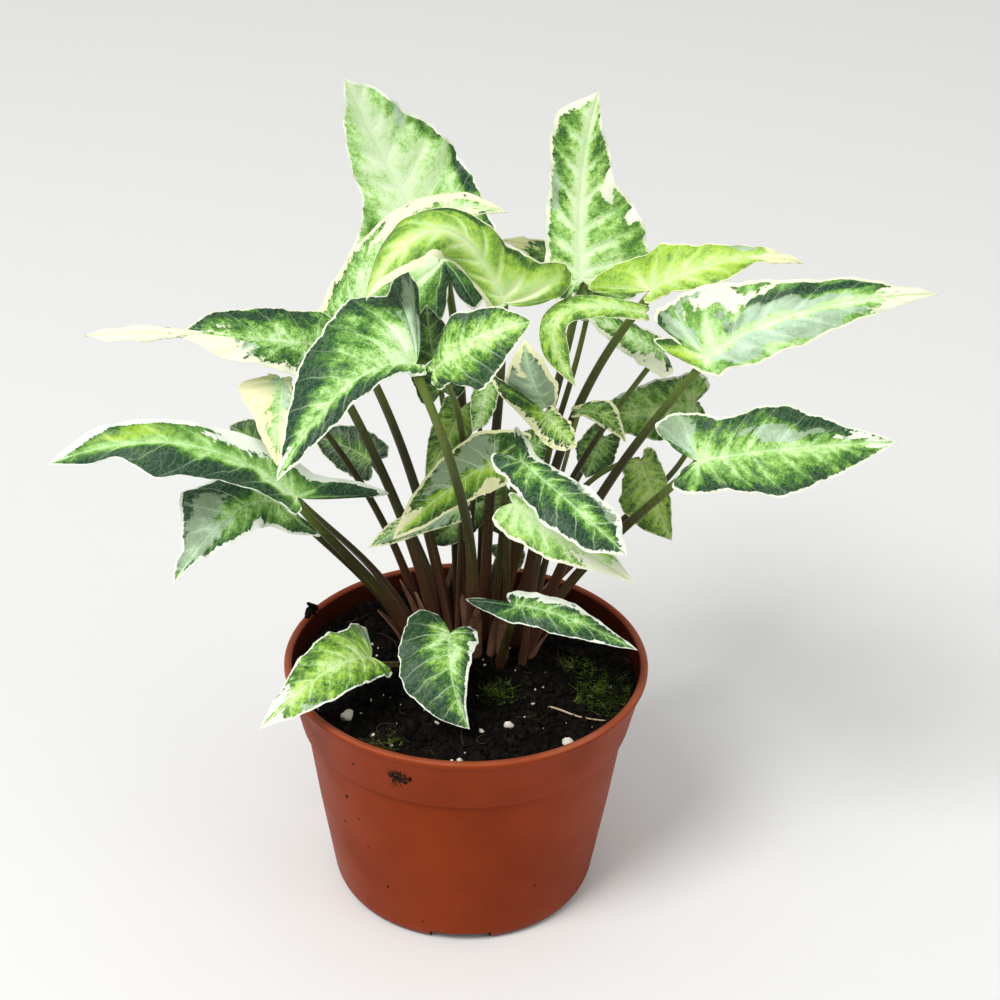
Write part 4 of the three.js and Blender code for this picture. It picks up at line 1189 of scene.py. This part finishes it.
def blade_sheet(around, columns):
    """The point numbers of a blade's grid and its faces, its joint and its tip being one point each."""
    number = np.arange(len(around) * columns).reshape(-1, columns)
    middle = columns // 2
    joint = number[0, middle]
    number[0, :] = joint
    number[around < LOBE_SHARE, middle] = joint
    number[-1, :] = number[-1, middle]
    corners = (list(dict.fromkeys(face)) for face in quads(number))
    return number, [face for face in corners if len(face) > 2]


def sheet_normals(points, sheet, ups):
    """The directions that a sheet's points face, on the side that ups are on."""
    normals = np.zeros_like(points)
    for corners in sheet:
        p = points[corners]
        normals[corners] += np.cross(p[2] - p[0], p[-1] - p[1] if len(corners) > 3 else p[1] - p[0])
    normals = unit(normals)
    return normals * np.sign(np.sum(normals * ups, axis=1, keepdims=True) + 1e-9)


def blade_surfaces(leaf, flat, points, normals, settings):
    """The upper and lower side of a blade: quilting between the veins, a sunk midrib and a keel."""
    scale = np.clip(max(*leaf["left"], *leaf["right"]) / 16, 0.45, 1)
    cell = np.abs(np.sin(np.pi * flat["vein"])) ** 0.8
    swell = np.clip(flat["rib"] / 5, 0, 1) * (1 - flat["out"] ** 3)
    relief = settings.quilting / MM * scale * cell * swell
    relief -= 0.45 * scale * hump(flat["rib"], 0.9) * (1 - flat["lobes"] * 0.5)
    half = settings.thickness / MM / 2 * (1 - 0.55 * flat["out"] ** 6)
    stem = leaf["stalk"][1]
    keel = stem * 0.55 * (1 - flat["along"]) * hump(flat["rib"], stem * 0.8)
    return points + normals * (relief + half)[:, None], points + normals * (relief - half - keel)[:, None]


def build_blade(name, leaf, materials, settings, seed, replaced):
    """One blade: a closed sheet with quilting between its veins, a sunk midrib and waving margins."""
    around, grid = blade_grid(leaf, seed, settings.ruffle)
    number, sheet = blade_sheet(around, grid["out"].shape[1])
    points, ups = (grid.pop(key).reshape(-1, 3) for key in ("point", "up"))
    normals = sheet_normals(points, sheet, ups)
    flat = {key: value.ravel() for key, value in grid.items()}
    top, bottom = blade_surfaces(leaf, flat, points, normals, settings)
    used = np.unique(number)
    count = len(used)
    order = np.full(len(points), -1)
    order[used] = np.arange(count)
    margin = order[np.concatenate([number[:, 0], number[-2:0:-1, -1]])]
    faces = [order[corners].tolist() for corners in sheet]
    faces += [(order[corners[::-1]] + count).tolist() for corners in sheet]
    faces += band(margin, margin + count)
    edge = np.zeros(2 * count, int)
    edge[margin] = 1
    edge[margin + count] = 2

    def both(*keys):
        side = np.column_stack([flat[k][used] if k in flat else np.full(count, leaf[k]) for k in keys])
        return np.concatenate([side, side])

    under = np.repeat((0.0, 1.0), count)
    attributes = {
        "blade_place": np.column_stack([both("vein", "out"), under]),
        "blade_gauge": both("rib", "margin", "pitch"),
        "blade_greens": both("mint", "dark", "lime"),
        "blade_whites": both("grey", "cream", "rim"),
        "blade_extra": both("warm", "even", "bone"),
    }
    sides = np.concatenate([top[used], bottom[used]])
    slot = leaf["slot"]
    return make_piece(f"blade_{name}", sides, faces, materials[slot], replaced, attributes, edge)


def stalk_line(leaf):
    """The four control points of a stalk's curve, as the model has them, in millimetres."""
    point, forward, up, _ = (v[0] for v in Midrib(leaf).at(np.zeros(1)))
    foot = np.array([*leaf["root"], SOIL_TOP - ROOT_DEPTH])
    way = unit(point - foot)
    arrive = unit(way * 0.8 + up * 0.5 + forward * 0.35)
    tilt = np.linalg.norm(np.cross(arrive, up))
    head = point - up * (BLADE_GAP + leaf["stalk"][1] * tilt)
    span = np.linalg.norm(head - foot)
    rise = unit(way + np.array([0, 0, 1.3]))
    neck = head - arrive * span * 0.3 + np.array(leaf["bow"], float)
    return foot, foot + rise * span * 0.4, neck, head


def bezier(controls, share):
    """Points of a cubic curve at shares from 0 to 1."""
    t = np.asarray(share, float)[:, None]
    weights = ((1 - t) ** 3, 3 * t * (1 - t) ** 2, 3 * t**2 * (1 - t), t**3)
    return sum(weight * point for weight, point in zip(weights, controls))


def tube(line, radii, sides, flare=0.0):
    """The points and faces of a closed tube round a list of points. flare widens its rings."""
    line = np.asarray(line, float)
    tangent = unit(np.gradient(line, axis=0))
    side = unit(np.cross(np.array([0.31, 0.95, 0.05]), tangent))
    front = np.cross(tangent, side)
    turn = np.arange(sides) * 2 * np.pi / sides
    ring = np.cos(turn)[None, :, None] * side[:, None] + np.sin(turn)[None, :, None] * front[:, None]
    wide = np.asarray(radii, float)[:, None] * np.ones(sides) + flare
    points = (line[:, None] + ring * wide[..., None]).reshape(-1, 3)
    number = np.arange(len(points)).reshape(-1, sides)
    return points, quads(closed(number)) + [number[0, ::-1].tolist(), number[-1].tolist()]


STALK_RINGS = 44
STALK_SIDES = 20
# A stalk's foot has this share of its solid's thickness, and its wings reach this far above the soil.
STALK_SHARE = 0.88
WING_HEIGHT = 55


def build_stalk(name, leaf, material, settings, seed, replaced):
    """One stalk: a tapered stem with a groove down its front, a swollen head and a winged foot."""
    rng = np.random.default_rng(seed)
    t = np.linspace(0, 1, STALK_RINGS)
    line = bezier(stalk_line(leaf), t)
    sway = np.sin(np.pi * t)[:, None] * np.sin(t[:, None] * rng.uniform(4, 8) + rng.uniform(0, 6, 3)) * 0.35
    line = line + sway * np.array([1, 1, 0])
    foot_radius, head_radius = leaf["stalk"]
    radii = (foot_radius + (head_radius - foot_radius) * t) * (STALK_SHARE - 0.06 * t)
    radii *= 1 + 0.16 * hump(t - 0.97, 0.04) + 0.12 * hump(t, 0.18)
    lowness = 1 - np.clip((line[:, 2] - SOIL_TOP) / WING_HEIGHT, 0, 1)
    turn = np.arange(STALK_SIDES) * 2 * np.pi / STALK_SIDES
    middle = rng.uniform(0, 2 * np.pi)
    off = np.abs((turn - middle + np.pi) % (2 * np.pi) - np.pi)
    wing = hump(off - 0.95, 0.22) * lowness[:, None] ** 1.5
    groove = 0.16 * radii[:, None] * hump(off, 0.35)
    points, faces = tube(line, radii, STALK_SIDES, settings.flare / MM * wing - groove)
    rounding = np.tile(np.sin(turn), STALK_RINGS)
    place = np.column_stack([np.repeat(t, STALK_SIDES), wing.ravel(), rounding])
    attributes = {"stalk_place": place}
    return make_piece(f"stalk_{name}", points, faces, material, replaced, attributes)


SHEATH_ROWS = 16
SHEATH_COLUMNS = 11
SHEATH_THICKNESS = 0.3
SHEATH_WRAP = math.radians(80)


def sheath(leaf, height, facing, rng):
    """One sheath: a pointed half sleeve that stands round the foot of a stalk."""
    share = np.linspace(0, 1, SHEATH_ROWS)
    controls = stalk_line(leaf)
    span = np.linalg.norm(controls[3] - controls[0])
    line = bezier(controls, share * (height + ROOT_DEPTH) / span)
    tangent = unit(np.gradient(line, axis=0))
    turn = math.radians(facing)
    outward = np.array([math.sin(turn), -math.cos(turn), 0])
    outward = unit(outward - np.sum(outward * tangent, axis=1, keepdims=True) * tangent)
    aside = np.cross(tangent, outward)
    reach = SHEATH_WRAP * (1 - share**2.2) ** 0.8 + 0.02
    gap = leaf["stalk"][0] + 0.3 + 1.3 * share**3 * rng.uniform(0.4, 1.4)
    crinkle = 0.16 * np.sin(share[:, None] * rng.uniform(9, 15) + np.arange(SHEATH_COLUMNS) * 1.3)
    angles = reach[:, None] * np.linspace(-1, 1, SHEATH_COLUMNS)
    ring = np.cos(angles)[..., None] * outward[:, None] + np.sin(angles)[..., None] * aside[:, None]
    radius = gap[:, None] + crinkle * share[:, None]
    skins = [line[:, None] + ring * (radius + skin)[..., None] for skin in (0, SHEATH_THICKNESS)]
    points = np.concatenate(skins).reshape(-1, 3)
    inner, outer = np.arange(len(points)).reshape(2, SHEATH_ROWS, SHEATH_COLUMNS)
    rims = [
        np.concatenate([skin[0, :-1], skin[:-1, -1], skin[-1, :0:-1], skin[:0:-1, 0]])
        for skin in (inner, outer)
    ]
    return points, quads(inner) + quads(outer.T) + band(*rims)


def build_sheaths(settings):
    """The papery leaf sheaths, in one piece."""
    rng = np.random.default_rng(71)
    points, faces = joined(sheath(LEAVES[name], height, facing, rng) for name, height, facing in SHEATHS)
    material = speckled_material("Sheath", settings.sheath, settings.foot, 420.0, 0.7, 0.2)
    return make_piece("sheaths", points, faces, material)


# The pot's profile, from the middle of its underside out, up, over the rim and down inside.
POT_PROFILE = (
    (0, 0), (9.7, 0), (10.2, 0.3), (12.7, 2.8), (13.2, 3), (36.8, 3), (37.1, 2.8), (37.9, 0.3), (38.2, 0),
    (41.2, 0), (41.9, 0.25), (42.9, 1.1), (43.6, 2.3), (44.1, 3.6), (44.5, 5.2), (49.2, 34.2),
    (53.15, 61.8), (53.3, 62.9), (54.1, 63.5), (54.85, 64.1), (55.05, 64.8), (57.1, 74), (58.85, 81.5),
    (59.05, 82), (59.5, 82.2), (59.85, 82.5), (60, 83), (60, 83.7), (59.8, 84.2), (59.4, 84.5),
    (58.1, 84.5), (57.65, 84.25), (57.4, 83.8), (55.6, 75), (53.45, 64.6), (52.2, 63.3), (47.6, 34.2),
    (43.1, 5.6), (42.6, 4.9), (41.9, 4.6), (0, 4.6),
)
POT_SEGMENTS = 192
# The foot ring: its part of the profile and its radius, and its notches' number, half width and height.
FOOT_RING = range(6, 16)
FOOT_RADIUS = 44.1
NOTCHES = 4
NOTCH_HALF = 10.2
NOTCH_HEIGHT = 3.3
FLOOR_TOP = 4.6
DRAINS = 4
DRAIN_RING = 26
DRAIN_RADIUS = 3.5
POT_CREASE = math.radians(35)


def pot_angles():
    """Angles round the pot, with two close together at each side of each notch, and a notch's half."""
    half = math.asin(NOTCH_HALF / FOOT_RADIUS)
    edges = [k * math.tau / NOTCHES + s * half for k in range(NOTCHES) for s in (-1, 1)]
    angles = [k * math.tau / POT_SEGMENTS for k in range(POT_SEGMENTS)]
    angles += [edge + s * 0.002 for edge in edges for s in (-1, 1)]
    return sorted(angle % math.tau for angle in angles), half


def build_pot(settings):
    """The pot as one closed shell, turned from its profile, notched at the foot and drilled."""
    angles, half = pot_angles()
    points = []
    step = math.tau / NOTCHES
    for angle in angles:
        off = abs((angle + step / 2) % step - step / 2)
        lift = NOTCH_HEIGHT if off < half else 0
        for k, (radius, height) in enumerate(POT_PROFILE[1:-1], start=1):
            high = max(height, lift) if k in FOOT_RING else height
            points.append((math.sin(angle) * radius, -math.cos(angle) * radius, high))
    number = np.arange(len(points)).reshape(len(angles), -1).T
    faces = quads(closed(number))
    faces += fan(len(points), number[0, ::-1])
    faces += fan(len(points) + 1, number[-1])
    points += [(0, 0, 0), (0, 0, FLOOR_TOP)]
    piece = make_piece("pot_shell", points, faces, pot_material(settings), "pot")
    drill_drains(piece)
    return piece


def drill_drains(piece):
    """Cuts the round drain holes through the pot's floor."""
    cutter_mesh = bpy.data.meshes.new("drain_cutter")
    shape = bmesh.new()
    for k in range(DRAINS):
        angle = (k + 0.5) * math.tau / DRAINS
        place = Vector((math.cos(angle), math.sin(angle), 0)) * DRAIN_RING * MM
        bmesh.ops.create_cone(
            shape, cap_ends=True, segments=32, radius1=DRAIN_RADIUS * MM, radius2=DRAIN_RADIUS * MM,
            depth=FLOOR_TOP * 4 * MM, matrix=Matrix.Translation(place),
        )
    shape.to_mesh(cutter_mesh)
    shape.free()
    cutter = add_object("drain_cutter", cutter_mesh)
    cut = piece.modifiers.new("Drain holes", "BOOLEAN")
    cut.operation = "DIFFERENCE"
    cut.object = cutter
    cut.solver = "EXACT"
    bpy.context.view_layer.update()
    done = bpy.data.meshes.new_from_object(piece.evaluated_get(bpy.context.evaluated_depsgraph_get()))
    piece.modifiers.clear()
    piece.data = done
    done.name = piece.name
    bpy.data.objects.remove(cutter)
    done.set_sharp_from_angle(angle=POT_CREASE)


# The radius of the soil's top, and the side below it down to the pot's floor, as radius and height.
SOIL_EDGE = 56.05
SOIL_SIDE = ((54.6, 71), (53, 64.8), (51.8, 63.2), (42.4, 4.95))
SOIL_RINGS = 140
SOIL_SEGMENTS = 340
# The mound that the soil's top is, without its lumps: heights at shares of its radius.
MOUND_SHARES = (0, 0.35, 0.7, 1)
MOUND_HEIGHTS = (81.2, 80.63, 79.11, 77.4)


def mound(x, y):
    return np.interp(math.hypot(x, y) / SOIL_EDGE, MOUND_SHARES, MOUND_HEIGHTS)


def soil_height(x, y):
    """The soil's top, in millimetres: a low mound with lumps and crumbs, plainer along the wall."""
    lumps = noise.fractal(Vector((x, y, 0)) * 0.11, 1.0, 2.1, 3) * 0.75
    crumbs = noise.fractal(Vector((x, y, 7)) * 0.42, 0.7, 2.2, 4) * 0.75
    nearest = noise.voronoi(Vector((x, y, 3)) * 0.5)[0][0]
    pebbles = (0.35 - min(nearest, 0.6)) * 1.1
    fade = 1 - max(0, (math.hypot(x, y) / SOIL_EDGE - 0.94) / 0.06) * 0.75
    return float(mound(x, y) + (lumps + crumbs + pebbles) * fade)


def on_soil(x, y, above=0.0):
    return x, y, soil_height(x, y) + above


def kept_inside(x, y, reach):
    """A place on the soil, drawn in to a radius where it lies outside it."""
    shrink = min(1, reach / max(math.hypot(x, y), 1e-6))
    return x * shrink, y * shrink


def build_soil(settings):
    """The bed of soil: a lumpy top and a plain side that follows the pot's wall."""
    turns = [k * math.tau / SOIL_SEGMENTS for k in range(SOIL_SEGMENTS)]
    points = [on_soil(0, 0)]
    for ring in range(1, SOIL_RINGS + 1):
        radius = SOIL_EDGE * (ring / SOIL_RINGS) ** 0.9
        for angle in turns:
            x, y = math.cos(angle) * radius, math.sin(angle) * radius
            level = mound(x, y)
            points.append((x, y, level + (soil_height(x, y) - level) * settings.relief))
    for radius, height in SOIL_SIDE:
        points += [(math.cos(angle) * radius, math.sin(angle) * radius, height) for angle in turns]
    number = np.arange(1, len(points)).reshape(-1, SOIL_SEGMENTS)
    faces = fan(0, number[0]) + quads(closed(number).T) + fan(len(points), number[-1, ::-1])
    points.append((0, 0, SOIL_SIDE[-1][1]))
    material = speckled_material("Damp peat", settings.peat, settings.peat_dry, 620.0, 0.86, 0.9)
    return make_piece("soil_bed", points, faces, material, "soil")


def lump_shape(detail):
    """The points and faces of a round lump, to be bent out of shape."""
    shape = bmesh.new()
    bmesh.ops.create_icosphere(shape, subdivisions=detail, radius=1)
    points = np.array([v.co for v in shape.verts])
    faces = [[v.index for v in face.verts] for face in shape.faces]
    shape.free()
    return points, faces


def scattered_lumps(places, sizes, detail, rng, rough, flatness):
    """Many lumps in one mesh, each squashed, turned and roughened in its own way."""
    base, faces = lump_shape(detail)
    lumps = []
    for place, size in zip(places, sizes):
        stretch = rng.uniform(1 - flatness, 1 + flatness, 3)
        shift = rng.uniform(0, 50, 3)
        bumps = np.array([noise.noise(Vector(p * 1.3 + shift)) for p in base])
        fine = np.array([noise.noise(Vector(p * 3.1 + shift)) for p in base])
        lump = base * (1 + rough * (bumps + 0.5 * fine))[:, None] * stretch
        turn, tip = rng.uniform(0, math.tau, 2)
        spin = np.array(Matrix.Rotation(turn, 3, "Z") @ Matrix.Rotation(tip, 3, "X"))
        lumps.append((lump @ spin.T * size + place, faces))
    return joined(lumps)


def random_spots(rng, count, inner, outer):
    """Spots on the soil between two radii, as points on its surface."""
    spots = []
    for _ in range(count):
        radius = math.sqrt(rng.uniform(inner**2, outer**2))
        angle = rng.uniform(0, math.tau)
        spots.append(on_soil(radius * math.cos(angle), radius * math.sin(angle)))
    return np.array(spots)


# Perlite grains that show most: place on the soil and size.
BIG_GRAINS = (
    ((-37.5, -27.5), 1.9), ((-33.2, -25.6), 0.9), ((33.4, -38.3), 1.6), ((14.4, -31.8), 1.2),
    ((5.6, -34.2), 1.0), ((-0.8, -48.9), 1.2), ((-24, -38.5), 0.8), ((-8.5, -31), 0.7), ((22, -20), 0.7),
)
# Crumbs in a heap on the rim: angle from the front, height and size. RIM_RADIUS is the rim's middle.
RIM_CRUMBS = (
    (-115, 84.4, 1.7), (-113, 85.6, 1.5), (-111.5, 84.6, 1.2), (-117, 84.8, 1.1), (-114.5, 87.2, 1.1),
    (-116, 86.4, 1.2), (-113.5, 88.6, 0.8),
)
RIM_RADIUS = 58.8
SMUDGE_CRUMBS = 26
# How far out crumbs, perlite, moss and fibres start, and how far out a strand may lie.
CRUMB_REACH = 54.4
GRAIN_REACH = 54
MOSS_REACH = 54.5
FIBRE_REACH = 53
STRAND_REACH = 55.4


def build_litter(settings):
    """What lies loose on the soil: crumbs of peat, and grains of perlite."""
    rng = np.random.default_rng(11)
    peat = speckled_material("Peat crumbs", settings.peat, settings.peat_dry, 1100.0, 0.84, 0.5)
    spots = random_spots(rng, settings.crumbs, 0, CRUMB_REACH)
    sizes = rng.uniform(0.35, 1.0, len(spots)) ** 1.6 * 1.7 + 0.25
    turns = [(math.radians(angle), height) for angle, height, _ in RIM_CRUMBS]
    rim = [(math.sin(turn) * RIM_RADIUS, -math.cos(turn) * RIM_RADIUS, height) for turn, height in turns]
    smudge = [
        on_wall(SMUDGE_ANGLE + rng.normal(0, 2.6), SMUDGE_HEIGHT + rng.normal(0, 1.5))
        for _ in range(SMUDGE_CRUMBS)
    ]
    places = np.concatenate([spots, rim, smudge])
    stuck = rng.uniform(0.2, 0.6, SMUDGE_CRUMBS)
    sizes = np.concatenate([sizes, [size for _, _, size in RIM_CRUMBS], stuck])
    points, faces = scattered_lumps(places, sizes, detail=1, rng=rng, rough=0.95, flatness=0.5)
    make_piece("peat_crumbs", points, faces, peat)
    grains = speckled_material("Perlite", settings.perlite, colour(186, 170, 146), 900.0, 0.8, 0.3)
    # The small grains are partly perlite and partly painted glints on the damp soil.
    small = random_spots(rng, settings.grains, 6, GRAIN_REACH)
    big = np.array([on_soil(x, y, 0.4) for (x, y), _ in BIG_GRAINS])
    places = np.concatenate([small + (0, 0, 0.2), big])
    sizes = rng.uniform(0, 1, len(small)) ** 2.5 * 0.55 + 0.16
    sizes = np.concatenate([sizes, [size for _, size in BIG_GRAINS]])
    points, faces = scattered_lumps(places, sizes, detail=2, rng=rng, rough=0.5, flatness=0.3)
    make_piece("perlite_grains", points, faces, grains)


def strands(starts, lengths, radius, rng, steps, sides, lift, curl):
    """Thin curved strands in one mesh, each wandering from its start."""
    made = []
    for start, length in zip(starts, lengths):
        heading = rng.uniform(0, math.tau)
        climb = lift
        turn = rng.normal(0, curl)
        line = [np.array(start, float)]
        for _ in range(steps):
            heading += turn + rng.normal(0, curl * 0.5)
            climb *= 0.82
            way = np.array([math.cos(heading), math.sin(heading), climb])
            line.append(line[-1] + way * (length / steps))
        radii = radius * np.linspace(1, 0.45, steps + 1) * rng.uniform(0.7, 1.3)
        made.append(tube(line, radii, sides))
    return joined(made)


def settle(points, clear):
    """Lifts points that lie under the soil and keeps them inside the pot."""
    settled = []
    for x, y, z in points:
        x, y = kept_inside(x, y, STRAND_REACH)
        settled.append((x, y, max(z, soil_height(x, y) - clear)))
    return np.array(settled)


# Patches of moss: middle, radius and how many strands.
MOSS = (((47, -12), 11, 460), ((11, -16), 6, 160), ((-24, -42), 5.5, 60), ((38, 2), 6, 90))
# The knot of fibres beside the moss: middle and spread, and how many there are there and elsewhere.
FIBRE_KNOT = ((-24, 3), (-41, 2))
KNOT_FIBRES = 26
LOOSE_FIBRES = 46
# The hooked root: its route over the soil.
HOOK = ((27, -24.5), (26.6, -23.4), (27.6, -22.6), (31, -23.4), (36, -25.4), (41, -26.6), (45.5, -26.8))
HOOK_RINGS = 40


def build_growth(settings):
    """Moss, dead roots and fibres on the soil."""
    rng = np.random.default_rng(23)
    starts = []
    for (x, y), radius, count in MOSS:
        for _ in range(count):
            away, angle = radius * math.sqrt(rng.random()), rng.uniform(0, math.tau)
            spot = kept_inside(x + away * math.cos(angle), y + away * math.sin(angle), MOSS_REACH)
            starts.append(on_soil(*spot, -0.1))
    moss = speckled_material("Moss", settings.moss, colour(124, 150, 54), 900.0, 0.8, 0.2)
    lengths = rng.uniform(1.8, 5.2, len(starts))
    points, faces = strands(starts, lengths, 0.17, rng, steps=6, sides=4, lift=0.9, curl=0.5)
    make_piece("moss", settle(points, 0.05), faces, moss)
    fibre = speckled_material("Dead roots", settings.fibre, colour(92, 70, 46), 500.0, 0.75, 0.2)
    spots = random_spots(rng, LOOSE_FIBRES, 4, FIBRE_REACH)
    knot = [[rng.normal(*spread) for spread in FIBRE_KNOT] for _ in range(KNOT_FIBRES)]
    spots = np.concatenate([spots, [on_soil(x, y) for x, y in knot]])
    lengths = rng.uniform(3, 12, len(spots))
    points, faces = strands(spots + (0, 0, 0.25), lengths, 0.11, rng, steps=9, sides=5, lift=0.3, curl=0.24)
    make_piece("fibres", settle(points, 0.12), faces, fibre)
    line = np.array([on_soil(x, y, 1.2) for x, y in HOOK])
    line = smooth_through(line, np.linspace(0, 1, HOOK_RINGS))
    points, faces = tube(line, np.linspace(0.42, 0.24, HOOK_RINGS), 8)
    pale = speckled_material("Pale root", colour(196, 176, 146), colour(140, 116, 84), 700.0, 0.7, 0.2)
    make_piece("root_hook", points, faces, pale)


THREADS = 11
THREAD_RINGS = 8
THREAD_STEP = 0.75
# A thread's middle lies just outside the wall.
THREAD_LIFT = 1.003


def build_threads(settings):
    """Fine roots that stick out of the smudge of soil on the collar, flat against the wall."""
    rng = np.random.default_rng(37)
    threads = []
    for _ in range(THREADS):
        angle = SMUDGE_ANGLE + rng.normal(0, 1.2)
        height = SMUDGE_HEIGHT + rng.normal(0, 0.7)
        heading, line = rng.uniform(0, math.tau), []
        for _ in range(THREAD_RINGS):
            heading += rng.normal(0, 0.35)
            angle += math.cos(heading) * THREAD_STEP
            height += math.sin(heading) * THREAD_STEP
            line.append(on_wall(angle, height) * THREAD_LIFT)
        threads.append(tube(line, np.linspace(0.2, 0.09, THREAD_RINGS), 5))
    points, faces = joined(threads)
    dirt = speckled_material("Stuck roots", settings.dirt, colour(70, 44, 28), 700.0, 0.85, 0.2)
    make_piece("collar_threads", points, faces, dirt)


# ---------------------------------------------------------------------------------------------------
# Operators, one for each group of like pieces and one for the stage.


class PLANT_OT_stage(bpy.types.Operator):
    """Make the camera, the floor and the lights"""

    bl_idname = "plant.stage"
    bl_label = "Stage"

    def execute(self, context):
        context.scene.view_settings.view_transform = "Standard"
        self.make_camera(context.scene)
        self.make_floor(context.scene.plant_stage)
        self.make_lights(context.scene, context.scene.plant_stage)
        return {"FINISHED"}

    def make_camera(self, scene):
        forward = Vector((0, math.cos(CAMERA_ELEVATION), -math.sin(CAMERA_ELEVATION)))
        level_up = Vector((0, math.sin(CAMERA_ELEVATION), math.cos(CAMERA_ELEVATION)))
        level_right = Vector((1, 0, 0))
        right = level_right * math.cos(CAMERA_ROLL) + level_up * math.sin(CAMERA_ROLL)
        up = level_up * math.cos(CAMERA_ROLL) - level_right * math.sin(CAMERA_ROLL)
        data = bpy.data.cameras.new("Camera")
        data.lens = CAMERA_LENS
        data.sensor_width = SENSOR
        data.dof.use_dof = False
        camera = add_object("Camera", data)
        axes = Matrix((right, up, -forward)).transposed().to_4x4()
        camera.matrix_world = Matrix.Translation(CAMERA_TARGET - forward * CAMERA_DISTANCE) @ axes
        scene.camera = camera

    def make_floor(self, settings):
        material, tree, shader = new_material("Floor", Specular_IOR_Level=0.1)
        grain = tree.noise(tree.place(), 60.0, 4.0)
        skin = tree.mix(grain, settings.floor, dimmed(settings.floor, 0.985))
        finish_material(tree, shader, skin, tree.ramp(grain, 0, 1, 0.8, 0.9), grain, 0.05, 0.1)
        mesh = bpy.data.meshes.new("floor")
        corners = [(x * FLOOR_REACH, y * FLOOR_REACH, 0) for x, y in ((-1, -1), (1, -1), (1, 1), (-1, 1))]
        mesh.from_pydata(corners, [], [(0, 1, 2, 3)])
        mesh.materials.append(material)
        add_object("floor", mesh)

    def make_lights(self, scene, settings):
        world = bpy.data.worlds.new("Sky")
        world.use_nodes = True
        background = world.node_tree.nodes["Background"]
        background.inputs["Color"].default_value = (1, 1, 1, 1)
        background.inputs["Strength"].default_value = settings.sky
        scene.world = world
        for (name, place, size), power in zip(LAMPS, (settings.key, settings.fill)):
            data = bpy.data.lights.new(name, "AREA")
            data.shape = "DISK"
            data.size = size
            data.energy = power
            lamp = add_object(name, data)
            lamp.location = place
            lamp.rotation_euler = (LAMP_AIM - Vector(place)).to_track_quat("-Z", "Y").to_euler()


class PLANT_OT_pot(bpy.types.Operator):
    """Build the pot, and the fine roots stuck to its collar"""

    bl_idname = "plant.pot"
    bl_label = "Pot"

    def execute(self, context):
        build_pot(context.scene.plant_pot)
        build_threads(context.scene.plant_pot)
        return {"FINISHED"}


class PLANT_OT_soil(bpy.types.Operator):
    """Build the bed of soil"""

    bl_idname = "plant.soil"
    bl_label = "Soil"

    def execute(self, context):
        build_soil(context.scene.plant_soil)
        return {"FINISHED"}


class PLANT_OT_litter(bpy.types.Operator):
    """Scatter peat crumbs and perlite on the soil"""

    bl_idname = "plant.litter"
    bl_label = "Crumbs and perlite"

    def execute(self, context):
        build_litter(context.scene.plant_soil)
        return {"FINISHED"}


class PLANT_OT_growth(bpy.types.Operator):
    """Grow moss and lay dead roots on the soil"""

    bl_idname = "plant.growth"
    bl_label = "Moss and roots"

    def execute(self, context):
        build_growth(context.scene.plant_soil)
        return {"FINISHED"}


class PLANT_OT_stalks(bpy.types.Operator):
    """Build the leaf stalks and the sheaths at their feet"""

    bl_idname = "plant.stalks"
    bl_label = "Stalks"

    def execute(self, context):
        settings = context.scene.plant_stalks
        material = stalk_material(settings)
        for seed, (name, leaf) in enumerate(LEAVES.items(), start=100):
            if "root" in leaf:
                build_stalk(name, leaf, material, settings, seed, f"petiole_{name}")
        for seed, (name, leaf) in enumerate(INNER_LEAVES.items(), start=200):
            build_stalk(name, leaf, material, settings, seed, None)
        build_sheaths(settings)
        return {"FINISHED"}


class PLANT_OT_leaves(bpy.types.Operator):
    """Build the leaf blades"""

    bl_idname = "plant.leaves"
    bl_label = "Leaves"

    def execute(self, context):
        settings = context.scene.plant_leaves
        materials = {
            "leaf_pale": leaf_material("Pale leaf", settings, 1.0),
            "leaf_green": leaf_material("Green leaf", settings, 1.0),
            # The shaded leaves get painted shade: all their colours are darkened to 0.55 of themselves and
            # yellowed.
            "leaf_dark": leaf_material("Shaded leaf", settings, 0.55),
        }
        for seed, (name, leaf) in enumerate(LEAVES.items(), start=500):
            build_blade(name, leaf, materials, settings, seed, f"leaf_{name}")
        for seed, (name, leaf) in enumerate(INNER_LEAVES.items(), start=600):
            build_blade(name, leaf, materials, settings, seed, None)
        return {"FINISHED"}


STEPS = (
    PLANT_OT_stage, PLANT_OT_pot, PLANT_OT_soil, PLANT_OT_litter, PLANT_OT_growth, PLANT_OT_stalks,
    PLANT_OT_leaves,
)


class PLANT_PT_panel(bpy.types.Panel):
    """The plant's steps in the 3D view's sidebar"""

    bl_idname = "PLANT_PT_panel"
    bl_label = "Arrowhead Plant"
    bl_space_type = "VIEW_3D"
    bl_region_type = "UI"
    bl_category = "Plant"

    def draw(self, context):
        for step in STEPS:
            self.layout.operator(step.bl_idname)


SETTINGS = {
    "plant_leaves": LeafSettings,
    "plant_stalks": StalkSettings,
    "plant_soil": SoilSettings,
    "plant_pot": PotSettings,
    "plant_stage": StageSettings,
}
CLASSES = (*SETTINGS.values(), *STEPS, PLANT_PT_panel)


def register():
    for kind in CLASSES:
        bpy.utils.register_class(kind)
    for name, kind in SETTINGS.items():
        setattr(bpy.types.Scene, name, bpy.props.PointerProperty(type=kind))


def unregister():
    for name in SETTINGS:
        delattr(bpy.types.Scene, name)
    for kind in reversed(CLASSES):
        bpy.utils.unregister_class(kind)


def main():
    register()
    bpy.ops.plant.stage()
    bpy.ops.plant.pot()
    bpy.ops.plant.soil()
    bpy.ops.plant.litter()
    bpy.ops.plant.growth()
    bpy.ops.plant.stalks()
    bpy.ops.plant.leaves()


if __name__ == "__main__":
    main()
